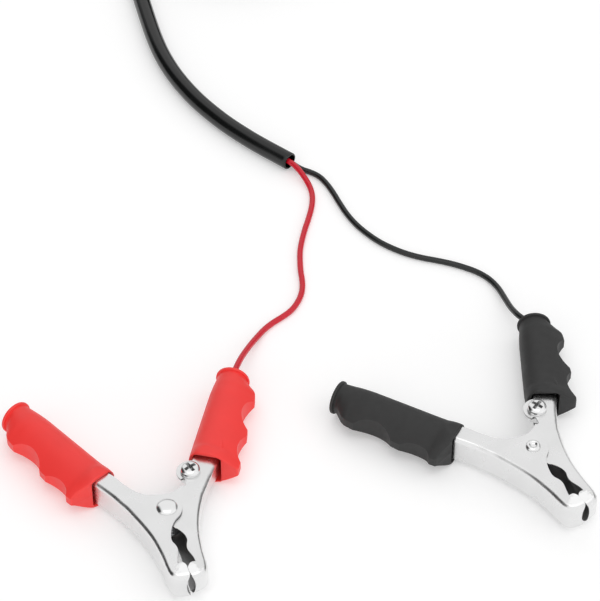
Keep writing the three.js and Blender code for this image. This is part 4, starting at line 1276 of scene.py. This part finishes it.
# bright room with a darker wall behind, seen only as a reflection in the metal
wc = wt.nodes.new("ShaderNodeTexCoord")
sep = wt.nodes.new("ShaderNodeSeparateXYZ")
wt.links.new(wc.outputs["Generated"], sep.inputs["Vector"])
ramp = wt.nodes.new("ShaderNodeValToRGB")
ramp.color_ramp.interpolation = "EASE"
el = ramp.color_ramp.elements
el[0].position, el[0].color = 0.0, (0.62, 0.62, 0.62, 1)
el[1].position, el[1].color = 0.62, (0.95, 0.95, 0.95, 1)
for pos, v in ((0.30, 0.30), (0.42, 0.28), (0.54, 0.86)):
    e = el.new(pos)
    e.color = (v, v, v, 1)
up = wt.nodes.new("ShaderNodeMapRange")     # height of the direction
up.inputs["From Min"].default_value, up.inputs["From Max"].default_value = -0.6, 1.0
wt.links.new(sep.outputs["Z"], up.inputs["Value"])
wt.links.new(up.outputs["Result"], ramp.inputs["Fac"])
back = wt.nodes.new("ShaderNodeMapRange")   # 1 behind, 0 in front
back.inputs["From Min"].default_value, back.inputs["From Max"].default_value = -0.1, 0.45
wt.links.new(sep.outputs["Y"], back.inputs["Value"])
mixw = wt.nodes.new("ShaderNodeMix")
mixw.data_type = "RGBA"
wt.links.new(back.outputs["Result"], mixw.inputs[0])
mixw.inputs[6].default_value = (1.02, 1.02, 1.02, 1)
wt.links.new(ramp.outputs["Color"], mixw.inputs[7])
prev = mixw.outputs[2]
for (dx, dy, dz), c0, c1, v in (((-0.90, 0.14, 0.40), 0.77, 0.93, 0.05), ((0.80, 0.58, 0.12), 0.88, 0.97, 0.25)):
    dot = wt.nodes.new("ShaderNodeVectorMath")
    dot.operation = "DOT_PRODUCT"
    wt.links.new(wc.outputs["Generated"], dot.inputs[0])
    dot.inputs[1].default_value = Vector((dx, dy, dz)).normalized()
    mr = wt.nodes.new("ShaderNodeMapRange")
    mr.interpolation_type = "SMOOTHSTEP"
    mr.inputs["From Min"].default_value, mr.inputs["From Max"].default_value = c0, c1
    wt.links.new(dot.outputs["Value"], mr.inputs["Value"])
    mx = wt.nodes.new("ShaderNodeMix")
    mx.data_type = "RGBA"
    wt.links.new(mr.outputs["Result"], mx.inputs[0])
    wt.links.new(prev, mx.inputs[6])
    mx.inputs[7].default_value = (v, v, v, 1)
    prev = mx.outputs[2]
wt.links.new(prev, bg.inputs["Color"])


def softbox(name, at, aim, sx, sy, power):
    l = bpy.data.lights.new(name, "AREA")
    l.shape = "RECTANGLE"
    l.size, l.size_y = sx, sy
    l.energy = power
    o = bpy.data.objects.new(name, l)
    bpy.context.scene.collection.objects.link(o)
    o.location = at
    o.rotation_euler = (Vector(aim) - Vector(at)).to_track_quat("-Z", "Y").to_euler()
    return o


softbox("top_front", (0.0, -0.35, 2.0), (0, 0, 0), 1.4, 1.0, 3)
bpy.context.scene.view_settings.view_transform = "Standard"

REPORT["cad"] = cad_box
